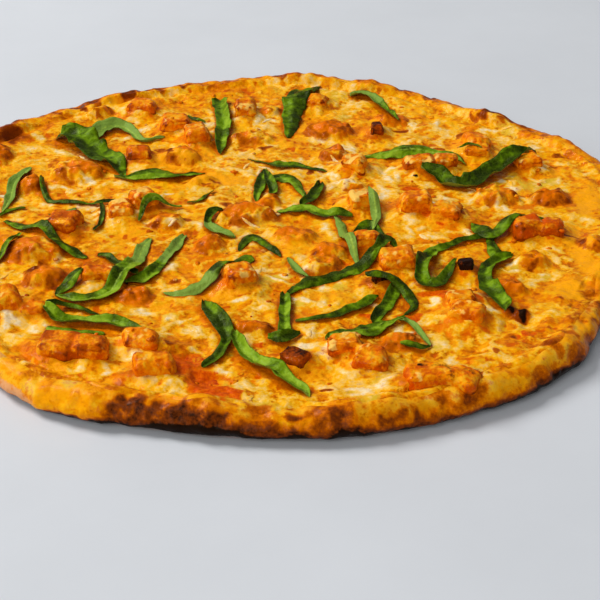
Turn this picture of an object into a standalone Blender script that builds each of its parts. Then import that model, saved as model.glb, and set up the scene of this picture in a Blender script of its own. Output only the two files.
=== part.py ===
"""A 12 inch chicken alla vodka pizza, lying on its flat underside.

The origin is under the middle of the pizza, +Z is up and the front edge is at -Y. The crust, the
vodka sauce, the baked cheese, each piece of chicken and each tangle of basil shreds are solids of
their own. The tables hold millimetres and degrees, and everything that is built is in metres.
"""
import math
import random

import bmesh
import bpy
import numpy as np
from mathutils import Matrix, Vector
from mathutils.bvhtree import BVHTree

MM = 0.001
OBJECT_NAME = "chicken_alla_vodka_pizza"

# Outline: radius every 15 degrees, counter-clockwise from +X. The notch is in the right front.
RADIUS = 152.5
OUTLINE_RADII = (156, 160, 153.5, 146, 149, 149.5, 152, 148, 149, 153, 158, 157,
                 156, 154, 151.5, 153, 157.5, 153.5, 154, 156, 157, 157.5, 149.5, 152)
TURN_STEPS = 72

# Heights of the layers, with the gap that keeps neighbours apart; it is wider over slopes.
GAP = 0.35
SLOPE_GAP = GAP + 0.1
BASE_TOP = 4.5
SAUCE_TOP = 6.0
CHEESE_TOP = 8.2
SHOULDER_HEIGHT = 7
CROWN_HEIGHT = 10
RIM_TOP = 10.5

# Widths, measured inwards from the outline.
RIM_FOOT = 21
RIM_SHOULDER = 15
RIM_SEAM = 12.6
RIM_CROWN = 10
SAUCE_MARGIN = 22.5
SAUCE_UNDERCUT = 0.8
CHEESE_MARGIN = 13.3
CHEESE_FOOT = 17.6
CHEESE_FLAT = 19

# The outer side of the rim, from its ridge to the floor: distance inwards, height.
RIM_SIDE = ((6, RIM_TOP), (1.5, 8), (0, 4.5), (2.5, 1.4), (8, 0))
BUBBLE_RISE = 6
SHARP_ANGLE = 50

# The cheese sheet: its rings, its hem, and how far from the middle its relief reaches.
CHEESE_RING_SPACING = 14
HEM_WIDTH = 1.2
LEVEL_MARGIN = 0.1
HEM_THICKNESS = 1.0
RELIEF_REACH = 140.6

# Cheese drawn up round the chicken: its spread as a factor of the piece, and its height.
APRON_SPREAD = 1.9
APRON_HEIGHT = 1.6

# Ripples of the cheese: height, waves in radians per mm, and the slower waves that bend them.
RIPPLE_HEIGHT = 0.45
RIPPLE_WAVES = (0.21, 0.19)
BEND_WAVES = (0.09, 0.11)
BEND_SIZES = (1.3, 1.1)

# Blisters and dips of the rim: direction, half width in degrees, height.
RIM_BUBBLES = ((84, 7, 4), (70, 4.5, 3.5), (42.5, 4.5, 4.5), (26, 5, 2.5), (122, 7, 3), (106, 5, 1.2),
               (148, 6, 2.5), (176, 7, 2), (201, 6, 1.5), (248, 6, 1.5), (262, 5, 1.8),
               (284, 6, 1.8), (300, 5, 1), (313, 5, 1.5), (328, 5, -2), (342, 7, 1.5), (4, 8, 1.2))

# Toppings that the cheese covers: x, y, width, depth, height.
CHEESE_LUMPS = (
    (-44, 54, 20, 15, 5), (-88, 37, 24, 17, 5.5), (-96, -35, 24, 18, 5.5), (26, 82, 22, 17, 4.5),
    (-11, -4, 26, 16, 5), (-88, -56, 18, 14, 4), (-107, 25, 13, 14, 4), (28, 56, 14, 12, 3.5),
    (97, 14, 20, 14, 4), (121, 13, 17, 14, 3.5), (104, -43, 14, 12, 3.5), (-25, -30, 13, 12, 4),
    (-2, 8, 12, 10, 3), (9, -22, 18, 14, 3), (20, -47, 17, 13, 3.5), (23, -36, 15, 12, 3.5),
    (-45, -10, 15, 11, 3.5), (-52, -69, 14, 11, 3), (-6, -93, 14, 10, 2.5), (-11, 75, 20, 13, 3.5),
    (-31, 28, 16, 12, 2.5), (34, 26, 12, 10, 2.5), (-4, 107, 12, 10, 2.5), (93, -63, 12, 11, 3),
    (-87, 103, 14, 11, 2.5), (56, 96, 16, 12, 2.5), (48, -103, 14, 12, 2.5), (-128, 55, 16, 15, 4),
    (-133, -8, 15, 13, 3.5), (-126, -62, 14, 13, 3), (132, -30, 14, 12, 2.5))

# Chicken: every node is one piece, or two that touch. x, y, width, depth, height, turn.
CHICKEN = (
    ((-40, -123, 15, 13, 7.5, 12),),
    ((-75, -110, 16, 14, 7.5, -10), (-63, -111, 13, 13, 8.5, 5)),
    ((-46, -105, 14, 10, 6, 0),),
    ((-101, -81, 17, 15, 9, 20), (-89, -83, 11, 9, 5, 0)),
    ((-67, -57, 13, 10, 6, 10),),
    ((-87, -15, 15, 13, 8, -15),),
    ((-64, -3, 12, 12, 7, 10), (-55, 5, 13, 12, 8, 30)),
    ((-48, 86, 16, 12, 7, 10),),
    ((-66, 107, 14, 12, 7, -5),),
    ((-62, 52, 12, 10, 6.5, 10),),
    ((-37, 72, 12, 14, 8, 15),),
    ((-15, 103, 11, 14, 7.5, 0),),
    ((20, 114, 12, 10, 6, -10),),
    ((48, 80, 8, 10, 7, 0),),
    ((36, 41, 13, 11, 7.5, -20),),
    ((65, 42, 15, 11, 7, 5), (77, 44, 12, 9, 6, 0)),
    ((94, 66, 12, 13, 7, 10), (93, 55, 12, 11, 6, -5)),
    ((115, 43, 12, 10, 7, 15),),
    ((61, 1, 14, 13, 8, 10), (74, -3, 14, 12, 7, -25)),
    ((106, -20, 13, 12, 9, 20), (116, -21, 11, 11, 8, -10)),
    ((50, -46, 16, 13, 7, 15),),
    ((77, -51, 9, 9, 8, 0),),
    ((-12, -60, 14, 13, 8, 20),),
    ((10, -117, 13, 10, 7, -30),),
    ((28, -109, 14, 12, 7, 10), (37, -118, 13, 12, 7, -15)),
    ((74, -87, 15, 12, 7, -20), (73, -76, 12, 11, 6, 10)),
    ((56.5, -129, 19, 12, 6.5, 5), (68.5, -130.5, 12, 11, 6, -30)),
    ((38, 6, 12, 12, 7, 15),),
    ((39, -31, 12, 10, 8, 0),),
    ((43, -62, 10, 9, 7.5, 20),),
    ((-129, -36, 14, 12, 7, 25),),
)
CHICKEN_SINK = 1.5
CHICKEN_BEVEL = 0.2
CHICKEN_TAPER = 0.86
CORNER_WANDER = 0.09
CORNER_LIFT = 1.6

# Bare patches where the sauce shows: x, y, width, depth, turn.
SAUCE_PATCHES = ((-26, -112, 15, 9, -35), (-19, -128, 14, 7, 10), (98, -89, 9, 6, -20))
PATCH_SIDES = 11
PATCH_DEPTH = 12
PATCH_RAGGED = (0.8, 1.15)

# Basil: each tangle is one node of shreds that cross, the lowest first. Width, fold, route.
# A positive fold lifts the edges into a gutter and a negative one lifts the rib into a roof.
BASIL = (
    ((7, 0.2, ((-91, 75), (-82, 92), (-71, 89), (-61, 77), (-52, 78))),
     (11, 0.22, ((-102, 80), (-92, 73), (-80, 59), (-67, 41)))),
    ((9, -0.2, ((-71, 36), (-61, 35), (-53, 41), (-43, 40), (-33, 38))),),
    ((4.5, 0.2, ((-117, 0), (-113, 6), (-107, 5))),
     (5.5, 0.3, ((-110, 42), (-117, 29), (-114, 1)))),
    ((3, 0.2, ((-75, 12), (-72, -4), (-75, -15))),
     (5.5, -0.25, ((-103, 34), (-98, 14), (-86, 13), (-74, 9), (-68, 13)))),
    ((6, 0.2, ((-96, -1), (-90, 0), (-84, 7))),),
    ((8.5, -0.2, ((-112, -6), (-98, -14), (-88, -27), (-75, -36))),),
    ((5.5, 0.2, ((-105, -23), (-107, -33), (-111, -42))),),
    ((4.5, 0.2, ((-57, -9), (-52, 1), (-40, 5))),),
    ((6.5, -0.2, ((-72, -56), (-77, -60), (-82, -69))),
     (6.5, 0.2, ((-35, -21), (-41, -36), (-48, -48), (-61, -54))),
     (9, 0.25, ((-70, -37), (-64, -37), (-55, -47))),
     (8, 0.15, ((-45, -20), (-54, -27), (-56, -46), (-65, -68), (-84, -69)))),
    ((6, 0.2, ((-63, -82), (-73, -77), (-83, -78), (-85, -86), (-80, -91))),
     (9, -0.2, ((-84, -91), (-71, -93), (-59, -94))),
     (7.5, 0.25, ((-87, -82), (-68, -85), (-53, -88), (-39, -94))),
     (3, 0.2, ((-83, -88), (-87, -92), (-91, -98)))),
    ((8, -0.25, ((-41, -66), (-29, -65), (-20, -53), (-7, -40))),),
    ((8.5, 0.25, ((-29, 118), (-25, 91), (-24, 65))),),
    ((12.5, -0.15, ((20, 136), (9, 120), (5, 102), (6, 81))),),
    ((7, 0.25, ((37, 130), (47, 127), (53, 116), (60, 103))),),
    ((5.5, 0.15, ((2, 57), (-3, 41), (-2, 27), (0, 15))),
     (6.5, 0.2, ((-13, 54), (-1, 52), (11, 51), (25, 42))),
     (6.5, -0.15, ((-10, 17), (-6, 28), (4, 34), (14, 20)))),
    ((5, 0.2, ((7, -38), (10, -48), (17, -56))),
     (7, 0.25, ((19, 29), (21, 22), (12, 3))),
     (5, -0.2, ((28, 1), (30, -15), (32, -28), (36, -45))),
     (7.5, 0.25, ((30, -20), (36, -13), (42, -12), (46, -22), (48, -34))),
     (5.5, -0.3, ((42, 17), (44, 4), (44, -17))),
     (7.5, 0.2, ((1, 0), (12, 6), (20, -1), (37, -5))),
     (8.5, -0.2, ((7, -66), (15, -54), (40, -40), (45, -29), (56, -37)))),
    ((6, 0.2, ((-27, 20), (-32, 12), (-37, 7))),),
    ((7.5, 0.3, ((-16, 3), (-26, 2), (-29, -9), (-16, -22))),),
    ((7.5, -0.25, ((-13, -29), (-8, -21), (-3, -27), (4, -33))),),
    ((7, 0.2, ((-3, -86), (12, -86), (30, -81), (41, -70))),
     (8.5, 0.25, ((5, -68), (5, -82), (6, -98)))),
    ((9.5, 0.2, ((-25, -75), (-16, -88), (-13, -102), (-23, -117))),
     (10, -0.2, ((-14, -96), (-7, -110), (3, -120), (16, -136)))),
    ((5, 0.2, ((48, -105), (54, -105), (62, -102))),
     (8, 0.2, ((49, -61), (46, -72), (40, -91))),
     (6.5, -0.25, ((38, -59), (49, -58), (55, -70), (49, -85))),
     (3.5, 0.2, ((44, -86), (52, -85), (59, -105))),
     (8, -0.2, ((21, -104), (30, -94), (41, -89), (51, -84)))),
    ((7, 0.25, ((60, -41), (71, -31), (82, -24), (93, -21))),
     (11, 0.2, ((66, -34), (58, -46), (57, -58), (66, -59), (74, -45))),
     (5, -0.2, ((91, -16), (90, -34), (100, -35))),
     (8.5, -0.25, ((85, -9), (90, -20), (99, -14), (106, -6), (115, -7))),
     (10, 0.2, ((91, -33), (84, -50), (87, -66), (88, -79)))),
    ((11, -0.2, ((37, 52), (50, 61), (68, 63), (83, 53))),),
    ((18, 0.3, ((66, 37), (78, 28), (91, 33), (104, 47), (120, 53))),),
    ((6.5, -0.2, ((-127, 26), (-133, 14), (-136, -2))),),
)
LEAF_THICKNESS = 0.7
LEAF_PRESS = 0.6
LEAF_STEP = 7.5
LEAF_SAG = 1.5
LEAF_TIP = 0.4
FEWEST_SEGMENTS = 3

# How finely a shred feels what lies under it, and the rounds in which it is pushed up.
CURVE_SAMPLES = 20
SPOTS_ALONG_SEGMENT = 6
SPOTS_ACROSS = 9
SPOTS_SMOOTHED = 4
PUSH_ROUNDS = 200
RAY_START = 100

# Largest loose scraps, in corners, that a union and a cut may leave; they are dropped.
UNION_SCRAP = 12
CUT_SCRAP = 60

COLOURS = {
    "crust": ((0.62, 0.29, 0.07), 0.75),
    "sauce": ((0.66, 0.10, 0.02), 0.35),
    "cheese": ((0.84, 0.43, 0.07), 0.4),
    "chicken": ((0.70, 0.24, 0.04), 0.5),
    "basil": ((0.08, 0.19, 0.03), 0.5),
}


def clear_scene():
    for thing in list(bpy.data.objects):
        bpy.data.objects.remove(thing, do_unlink=True)


def new_collection(name):
    collection = bpy.data.collections.new(name)
    bpy.context.scene.collection.children.link(collection)
    return collection


def new_material(name):
    colour, roughness = COLOURS[name]
    material = bpy.data.materials.new(name)
    material.use_nodes = True
    shader = material.node_tree.nodes["Principled BSDF"]
    shader.inputs["Base Color"].default_value = (*colour, 1)
    shader.inputs["Roughness"].default_value = roughness
    shader.inputs["Metallic"].default_value = 0
    return material


def add_object(name, mesh, collection, material=None):
    piece = bpy.data.objects.new(name, mesh)
    if material:
        mesh.materials.clear()
        mesh.materials.append(material)
    collection.objects.link(piece)
    return piece


def add_cutter(name, mesh, collection):
    cutter = add_object(name, mesh, collection)
    cutter.hide_render = True
    cutter.display_type = "WIRE"
    return cutter


def applied_mesh(piece):
    """The object's mesh with its modifiers applied."""
    depsgraph = bpy.context.evaluated_depsgraph_get()
    return bpy.data.meshes.new_from_object(piece.evaluated_get(depsgraph), depsgraph=depsgraph)


def add_boolean(piece, operation, operands):
    boolean = piece.modifiers.new(operation.lower(), "BOOLEAN")
    boolean.operation = operation
    boolean.operand_type = "COLLECTION"
    boolean.collection = operands
    boolean.solver = "EXACT"


def drop_scraps(mesh, largest_scrap):
    """Remove small shells that a Boolean leaves loose, of up to so many corners."""
    shape = bmesh.new()
    shape.from_mesh(mesh)
    waiting = set(shape.verts)
    shells = []
    while waiting:
        shell = []
        frontier = [waiting.pop()]
        while frontier:
            corner = frontier.pop()
            shell.append(corner)
            near = {edge.other_vert(corner) for edge in corner.link_edges} & waiting
            waiting -= near
            frontier.extend(near)
        shells.append(shell)
    shells.sort(key=len)
    for shell in shells[:-1]:
        if len(shell) <= largest_scrap:
            bmesh.ops.delete(shape, geom=shell, context="VERTS")
    shape.to_mesh(mesh)
    shape.free()


def cut_away(piece, cutters):
    add_boolean(piece, "DIFFERENCE", cutters)
    cut = applied_mesh(piece)
    drop_scraps(cut, CUT_SCRAP)
    piece.modifiers.clear()
    piece.data = cut


def join_pieces(pieces):
    """One Boolean union of pieces that cross; the first piece keeps the result."""
    keeper, others = pieces[0], pieces[1:]
    if not others:
        return keeper
    operands = bpy.data.collections.new("joining")
    for other in others:
        operands.objects.link(other)
    add_boolean(keeper, "UNION", operands)
    joined = applied_mesh(keeper)
    drop_scraps(joined, UNION_SCRAP)
    keeper.modifiers.clear()
    keeper.data = joined
    for other in others:
        bpy.data.objects.remove(other, do_unlink=True)
    bpy.data.collections.remove(operands)
    return keeper


def curve_point(before, here, after, beyond, part):
    """A point on a Catmull-Rom curve, between here and after as part goes from 0 to 1."""
    slope = after - before
    curve = 2 * before - 5 * here + 4 * after - beyond
    twist = 3 * (here - after) + beyond - before
    return here + 0.5 * part * (slope + part * (curve + part * twist))


# The round layers: a profile is turned, then pushed out to the uneven outline.

def outline_scale(angle):
    """The uneven outline as a factor of RADIUS, a smooth closed curve through OUTLINE_RADII."""
    radii = np.array(OUTLINE_RADII) / RADIUS
    place = (angle % (2 * math.pi)) / (2 * math.pi) * len(radii)
    index = np.floor(place).astype(int)
    part = place - index
    knots = (radii[(index + step) % len(radii)] for step in (-1, 0, 1, 2))
    return curve_point(*knots, part)


def rim_lift(angle):
    """Height that the rim's blisters add in each direction."""
    lift = np.zeros_like(angle)
    for direction, half_width, height in RIM_BUBBLES:
        off = (np.degrees(angle) - direction + 180) % 360 - 180
        lift += height * np.exp(-(off / half_width) ** 2)
    return lift * MM


def rim_share(radius, height):
    """How much of the blister's height a point takes: none on the floor, all on the crown."""
    inward = RADIUS * MM - radius
    slope_in = np.clip((RIM_SEAM * MM - inward) / ((RIM_SEAM - RIM_CROWN) * MM), 0, 1)
    slope_out = np.clip(inward / (BUBBLE_RISE * MM), 0, 1)
    return np.where(height > (BASE_TOP + LEVEL_MARGIN) * MM, np.minimum(slope_in, slope_out), 0)


def rim_inner_height(inward):
    """Height of the rim's inner slope at a distance inwards from the outline."""
    places = (RIM_CROWN, RIM_SHOULDER, RIM_FOOT)
    return np.interp(inward, places, (CROWN_HEIGHT, SHOULDER_HEIGHT, BASE_TOP))


def bump(x, y, lump):
    """A smooth mound of the lump's width, depth and height."""
    centre_x, centre_y, width, depth, height = lump
    reach = (2 * (x - centre_x) / width) ** 2 + (2 * (y - centre_y) / depth) ** 2
    return height * np.clip(1 - reach, 0, 1) ** 0.75


def cheese_relief(x, y):
    """Height that covered toppings, cheese drawn up round the chicken and ripples add."""
    x = x / MM
    y = y / MM
    relief = np.zeros_like(x)
    for lump in CHEESE_LUMPS:
        relief = np.maximum(relief, bump(x, y, lump))
    for group in CHICKEN:
        for centre_x, centre_y, width, depth, *_ in group:
            apron = (centre_x, centre_y, width * APRON_SPREAD, depth * APRON_SPREAD, APRON_HEIGHT)
            relief = np.maximum(relief, bump(x, y, apron))
    wave_x = np.sin(RIPPLE_WAVES[0] * x + BEND_SIZES[0] * np.sin(BEND_WAVES[0] * y))
    wave_y = np.sin(RIPPLE_WAVES[1] * y + BEND_SIZES[1] * np.sin(BEND_WAVES[1] * x))
    return (relief + RIPPLE_HEIGHT * wave_x * wave_y) * MM


def turned_mesh(name, profile):
    """A closed solid turned from a half profile that runs from the axis out and back."""
    outline = bpy.data.meshes.new(name)
    corners = [(radius * MM, 0, height * MM) for radius, height in profile]
    outline.from_pydata(corners, [(i, i + 1) for i in range(len(corners) - 1)], [])
    turner = add_object(name + "_profile", outline, bpy.context.scene.collection)
    screw = turner.modifiers.new("turn", "SCREW")
    screw.angle = 2 * math.pi
    screw.steps = TURN_STEPS
    screw.render_steps = TURN_STEPS
    screw.use_merge_vertices = True
    screw.merge_threshold = 0.0001
    mesh = applied_mesh(turner)
    bpy.data.objects.remove(turner, do_unlink=True)
    return mesh


def to_outline(mesh):
    """Push a turned mesh out to the uneven outline and lift its rim into blisters."""
    points = np.empty(len(mesh.vertices) * 3)
    mesh.vertices.foreach_get("co", points)
    points = points.reshape(-1, 3)
    angle = np.arctan2(points[:, 1], points[:, 0])
    radius = np.hypot(points[:, 0], points[:, 1])
    points[:, 2] += rim_share(radius, points[:, 2]) * rim_lift(angle)
    points[:, :2] *= outline_scale(angle)[:, None]
    mesh.vertices.foreach_set("co", points.ravel())
    mesh.update()
    return points


def shade_round(mesh):
    mesh.shade_smooth()
    mesh.set_sharp_from_angle(angle=math.radians(SHARP_ANGLE))


def build_crust(collection, material):
    seam_height = rim_inner_height(RIM_SEAM)
    across = [(RIM_FOOT, BASE_TOP), (RIM_SHOULDER, SHOULDER_HEIGHT), (RIM_SEAM, seam_height),
              (RIM_CROWN, CROWN_HEIGHT), *RIM_SIDE]
    profile = [(RADIUS - inward, height) for inward, height in across]
    profile = [(0, BASE_TOP), *profile, (0, 0)]
    mesh = turned_mesh("crust", profile)
    to_outline(mesh)
    shade_round(mesh)
    return add_object("crust", mesh, collection, material)


def build_sauce(collection, material):
    edge = RADIUS - SAUCE_MARGIN
    underside = BASE_TOP + GAP
    profile = [(0, SAUCE_TOP), (edge, SAUCE_TOP), (edge - SAUCE_UNDERCUT, underside), (0, underside)]
    mesh = turned_mesh("vodka_sauce", profile)
    to_outline(mesh)
    shade_round(mesh)
    return add_object("vodka_sauce", mesh, collection, material)


def build_cheese(collection, material):
    """A sheet of baked cheese, thin at its edge on the rim's inner slope, over covered toppings."""
    underside = SAUCE_TOP + GAP
    flat = RADIUS - CHEESE_FLAT
    rings = int(flat / CHEESE_RING_SPACING)
    tops = [(ring * flat / rings, CHEESE_TOP) for ring in range(rings + 1)]
    hem_top = rim_inner_height(CHEESE_MARGIN + HEM_WIDTH) + GAP + HEM_THICKNESS
    profile = tops + [(RADIUS - CHEESE_MARGIN - HEM_WIDTH, hem_top),
                      (RADIUS - CHEESE_MARGIN, rim_inner_height(CHEESE_MARGIN) + SLOPE_GAP),
                      (RADIUS - RIM_SHOULDER, SHOULDER_HEIGHT + SLOPE_GAP),
                      (RADIUS - CHEESE_FOOT, underside), (0, underside)]
    mesh = turned_mesh("cheese", profile)
    points = to_outline(mesh)
    raised = points[:, 2] > (CHEESE_TOP - LEVEL_MARGIN) * MM
    top = raised & (np.hypot(points[:, 0], points[:, 1]) < RELIEF_REACH * MM)
    points[top, 2] += cheese_relief(points[top, 0], points[top, 1])
    mesh.vertices.foreach_set("co", points.ravel())
    mesh.update()
    shade_round(mesh)
    return add_object("cheese", mesh, collection, material)


# The chicken, in pockets of the cheese.

def chicken_mesh(piece, seed, grow):
    """A diced piece: a box with wandering corners and cut edges; grow widens it for its pocket."""
    centre_x, centre_y, width, depth, height, turn = piece
    draw = random.Random(seed)
    shape = bmesh.new()
    bmesh.ops.create_cube(shape, size=1)
    bottom = SAUCE_TOP + GAP + CHICKEN_SINK - grow
    top = bottom + height + 2 * grow
    for corner in shape.verts:
        wander = Vector([draw.uniform(-CORNER_WANDER, CORNER_WANDER) for _ in range(3)])
        taper = CHICKEN_TAPER if corner.co.z > 0 else 1
        corner.co.x = (corner.co.x * taper + wander.x) * width + math.copysign(grow, corner.co.x)
        corner.co.y = (corner.co.y * taper + wander.y) * depth + math.copysign(grow, corner.co.y)
        corner.co.z = top + CORNER_LIFT * wander.z * height if corner.co.z > 0 else bottom
    bmesh.ops.transform(shape, matrix=Matrix.Rotation(math.radians(turn), 3, "Z"), verts=shape.verts)
    for corner in shape.verts:
        corner.co = (corner.co + Vector((centre_x, centre_y, 0))) * MM
    cut = CHICKEN_BEVEL * min(width, depth, height) * MM
    bmesh.ops.bevel(shape, geom=list(shape.edges), offset=cut, segments=1, affect="EDGES")
    bmesh.ops.triangulate(shape, faces=shape.faces)
    mesh = bpy.data.meshes.new("chicken")
    shape.to_mesh(mesh)
    shape.free()
    return mesh


def build_chicken(collection, cutters, material):
    """The chicken nodes, and the pockets that cheese and crust leave round them."""
    nodes = []
    for number, group in enumerate(CHICKEN, start=1):
        name = f"chicken_{number:02d}"
        pieces = []
        for order, piece in enumerate(group):
            seed = 10 * number + order
            pieces.append(add_object(name, chicken_mesh(piece, seed, 0), collection, material))
            add_cutter(f"{name}_pocket", chicken_mesh(piece, seed, GAP), cutters)
        nodes.append(join_pieces(pieces))
    return nodes


def build_sauce_patches(cutters):
    """Uneven holes through the cheese, down to the sauce."""
    middle = SAUCE_TOP + GAP / 2 + PATCH_DEPTH / 2
    for number, (centre_x, centre_y, width, depth, turn) in enumerate(SAUCE_PATCHES, start=1):
        draw = random.Random(number)
        shape = bmesh.new()
        bmesh.ops.create_cone(shape, cap_ends=True, segments=PATCH_SIDES, radius1=0.5,
                              radius2=0.5, depth=PATCH_DEPTH)
        ragged = [draw.uniform(*PATCH_RAGGED) for _ in range(PATCH_SIDES)]
        for corner in shape.verts:
            side = round(math.atan2(corner.co.y, corner.co.x) / (2 * math.pi) * PATCH_SIDES)
            corner.co.x *= width * ragged[side % PATCH_SIDES]
            corner.co.y *= depth * ragged[side % PATCH_SIDES]
        bmesh.ops.transform(shape, matrix=Matrix.Rotation(math.radians(turn), 3, "Z"),
                            verts=shape.verts)
        for corner in shape.verts:
            corner.co = (corner.co + Vector((centre_x, centre_y, middle))) * MM
        mesh = bpy.data.meshes.new("patch")
        shape.to_mesh(mesh)
        shape.free()
        add_cutter(f"sauce_patch_{number}", mesh, cutters)


# The basil: every shred is a creased strip that settles on what lies under it.

def height_map(piece):
    """A search tree of the piece's surface, for the heights that shreds settle on."""
    mesh = applied_mesh(piece)
    mesh.calc_loop_triangles()
    corners = [vertex.co.copy() for vertex in mesh.vertices]
    faces = [list(face.vertices) for face in mesh.loop_triangles]
    bpy.data.meshes.remove(mesh)
    return BVHTree.FromPolygons(corners, faces, all_triangles=True)


def support_height(x, y, supports):
    """The highest point under a small spot round (x, y), with each support's clearance."""
    highest = 0
    for shift_x, shift_y in ((0, 0), (GAP, 0), (-GAP, 0), (0, GAP), (0, -GAP)):
        start = Vector((x + shift_x * MM, y + shift_y * MM, RAY_START * MM))
        for tree, clearance in supports:
            hit = tree.ray_cast(start, Vector((0, 0, -1)))[0]
            if hit:
                highest = max(highest, hit.z + clearance * MM)
    return highest


def smooth_route(points):
    """A curve through a shred's points, as stations at even steps with its sideways direction."""
    knots = np.array(points, float)
    knots = np.vstack((2 * knots[0] - knots[1], knots, 2 * knots[-1] - knots[-2]))
    fine = []
    for start in range(1, len(knots) - 2):
        for part in np.linspace(0, 1, CURVE_SAMPLES, endpoint=False):
            fine.append(curve_point(*knots[start - 1:start + 3], part))
    fine.append(knots[-2])
    fine = np.array(fine)
    run = np.concatenate(([0], np.cumsum(np.hypot(*np.diff(fine, axis=0).T))))

    def along(share):
        place = share * run[-1]
        spot = np.array([np.interp(place, run, fine[:, axis]) for axis in (0, 1)])
        step = np.array([np.interp(place + 1, run, fine[:, axis])
                         - np.interp(place - 1, run, fine[:, axis]) for axis in (0, 1)])
        return spot, np.array((-step[1], step[0])) / np.hypot(*step)

    return run[-1], along


def half_width(share, width):
    """The strip's half width: it narrows towards both ends."""
    swelling = math.sin(math.pi * min(max(share, 0), 1)) ** 0.6
    return 0.5 * width * (LEAF_TIP + (1 - LEAF_TIP) * swelling)


def settle(spots, tallies, width, fold):
    """Heights of a strip's vertices so that it lies close over the heights measured under it.

    spots holds the heights under a fine grid of the strip, tallies the weights that carry vertex
    heights to that grid. The strip starts as a smooth band with its fold and is then pushed up
    wherever something pokes through.
    """
    weights_along, weights_across = tallies
    crest = spots.max(axis=1)
    apart = np.arange(len(crest))[:, None] - np.arange(len(crest))
    spread = np.exp(-(apart / SPOTS_SMOOTHED) ** 2)
    smooth = spread @ crest / spread.sum(axis=1)
    stations = weights_along.argmax(axis=0)
    edge = abs(fold) * width * MM
    across = np.array((edge, 0, edge)) if fold > 0 else np.array((0, edge, 0))
    heights = smooth[stations][:, None] + across - LEAF_SAG * MM
    for _ in range(PUSH_ROUNDS):
        poke = np.clip(spots - weights_along @ heights @ weights_across.T, 0, None)
        push = np.zeros_like(heights)
        for column in range(3):
            reach = poke * weights_across[:, column]
            push[:, column] = (weights_along[:, :, None] * reach[:, None, :]).max(axis=(0, 2))
        heights += push
    return heights


def build_shred(name, shred, supports, collection, material):
    width, fold, points = shred
    length, along = smooth_route(points)
    segments = max(FEWEST_SEGMENTS, round(length / LEAF_STEP))
    shares = np.linspace(0, 1, segments * SPOTS_ALONG_SEGMENT + 1)
    sides = np.linspace(-1, 1, SPOTS_ACROSS)
    spots = np.zeros((len(shares), len(sides)))
    for row, share in enumerate(shares):
        spot, sideways = along(share)
        reach = half_width(share, width)
        for column, side in enumerate(sides):
            x, y = (spot + sideways * side * reach) * MM
            spots[row, column] = support_height(x, y, supports)
    grid = np.arange(segments + 1)
    weights_along = np.clip(1 - abs(shares[:, None] * segments - grid), 0, None)
    weights_across = np.clip(1 - abs(sides[:, None] - np.array((-1, 0, 1))), 0, None)
    heights = settle(spots, (weights_along, weights_across), width, fold)

    strip = bmesh.new()
    bmesh.ops.create_grid(strip, x_segments=segments, y_segments=2, size=1)
    for vertex in strip.verts:
        share = (vertex.co.x + 1) / 2
        side = vertex.co.y
        spot, sideways = along(share)
        x, y = (spot + sideways * side * half_width(share, width)) * MM
        vertex.co = (x, y, heights[round(share * segments), round(side) + 1])
    bmesh.ops.triangulate(strip, faces=strip.faces)
    bmesh.ops.recalc_face_normals(strip, faces=strip.faces)
    if sum(face.normal.z for face in strip.faces) < 0:
        bmesh.ops.reverse_faces(strip, faces=strip.faces)
    mesh = bpy.data.meshes.new(name)
    strip.to_mesh(mesh)
    strip.free()
    piece = add_object(name, mesh, collection, material)
    thicken = piece.modifiers.new("thickness", "SOLIDIFY")
    thicken.thickness = LEAF_THICKNESS * MM
    thicken.offset = 1
    piece.data = applied_mesh(piece)
    piece.modifiers.clear()
    return piece


def build_basil(collection, material, ground):
    """The tangles in turn; a shred that crosses another of its own tangle is pressed into it."""
    supports = [(height_map(piece), SLOPE_GAP) for piece in ground]
    for number, tangle in enumerate(BASIL, start=1):
        name = f"basil_{number:02d}"
        shreds = []
        own = []
        for shred in tangle:
            piece = build_shred(name, shred, supports + own, collection, material)
            own.append((height_map(piece), -LEAF_PRESS))
            shreds.append(piece)
        supports += [(tree, SLOPE_GAP) for tree, _ in own]
        join_pieces(shreds)


def main():
    clear_scene()
    parts = new_collection(OBJECT_NAME)
    cutters = new_collection("cutters")
    materials = {name: new_material(name) for name in COLOURS}
    crust = build_crust(parts, materials["crust"])
    build_sauce(parts, materials["sauce"])
    cheese = build_cheese(parts, materials["cheese"])
    chicken = build_chicken(parts, cutters, materials["chicken"])
    build_sauce_patches(cutters)
    cut_away(crust, cutters)
    cut_away(cheese, cutters)
    build_basil(parts, materials["basil"], [crust, cheese, *chicken])


main()
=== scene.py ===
import math

import bmesh
import bpy
import numpy as np
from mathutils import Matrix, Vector


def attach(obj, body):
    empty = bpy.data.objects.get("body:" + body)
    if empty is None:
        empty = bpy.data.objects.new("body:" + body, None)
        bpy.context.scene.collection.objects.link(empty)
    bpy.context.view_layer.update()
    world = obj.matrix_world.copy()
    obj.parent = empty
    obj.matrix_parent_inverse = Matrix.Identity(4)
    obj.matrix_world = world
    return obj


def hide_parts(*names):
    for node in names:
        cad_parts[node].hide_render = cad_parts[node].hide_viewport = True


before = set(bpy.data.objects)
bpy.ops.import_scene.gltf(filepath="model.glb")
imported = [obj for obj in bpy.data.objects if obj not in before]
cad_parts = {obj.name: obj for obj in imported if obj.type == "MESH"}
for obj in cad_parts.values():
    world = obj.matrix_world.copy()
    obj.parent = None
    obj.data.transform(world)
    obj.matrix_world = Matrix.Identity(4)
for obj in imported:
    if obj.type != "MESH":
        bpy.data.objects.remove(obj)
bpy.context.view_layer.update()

mm = 0.001
rootBody = "root"
noiseSpan = 0.3, 0.7         # between which the shader's noise mostly lies
mottleSpan = 0.41, 0.59      # the same for three sizes of it added up
oilTint = "#FF9C38"          # what the orange oil gives reflections


# Small tools: colours, nodes, noise and meshes.

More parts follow.
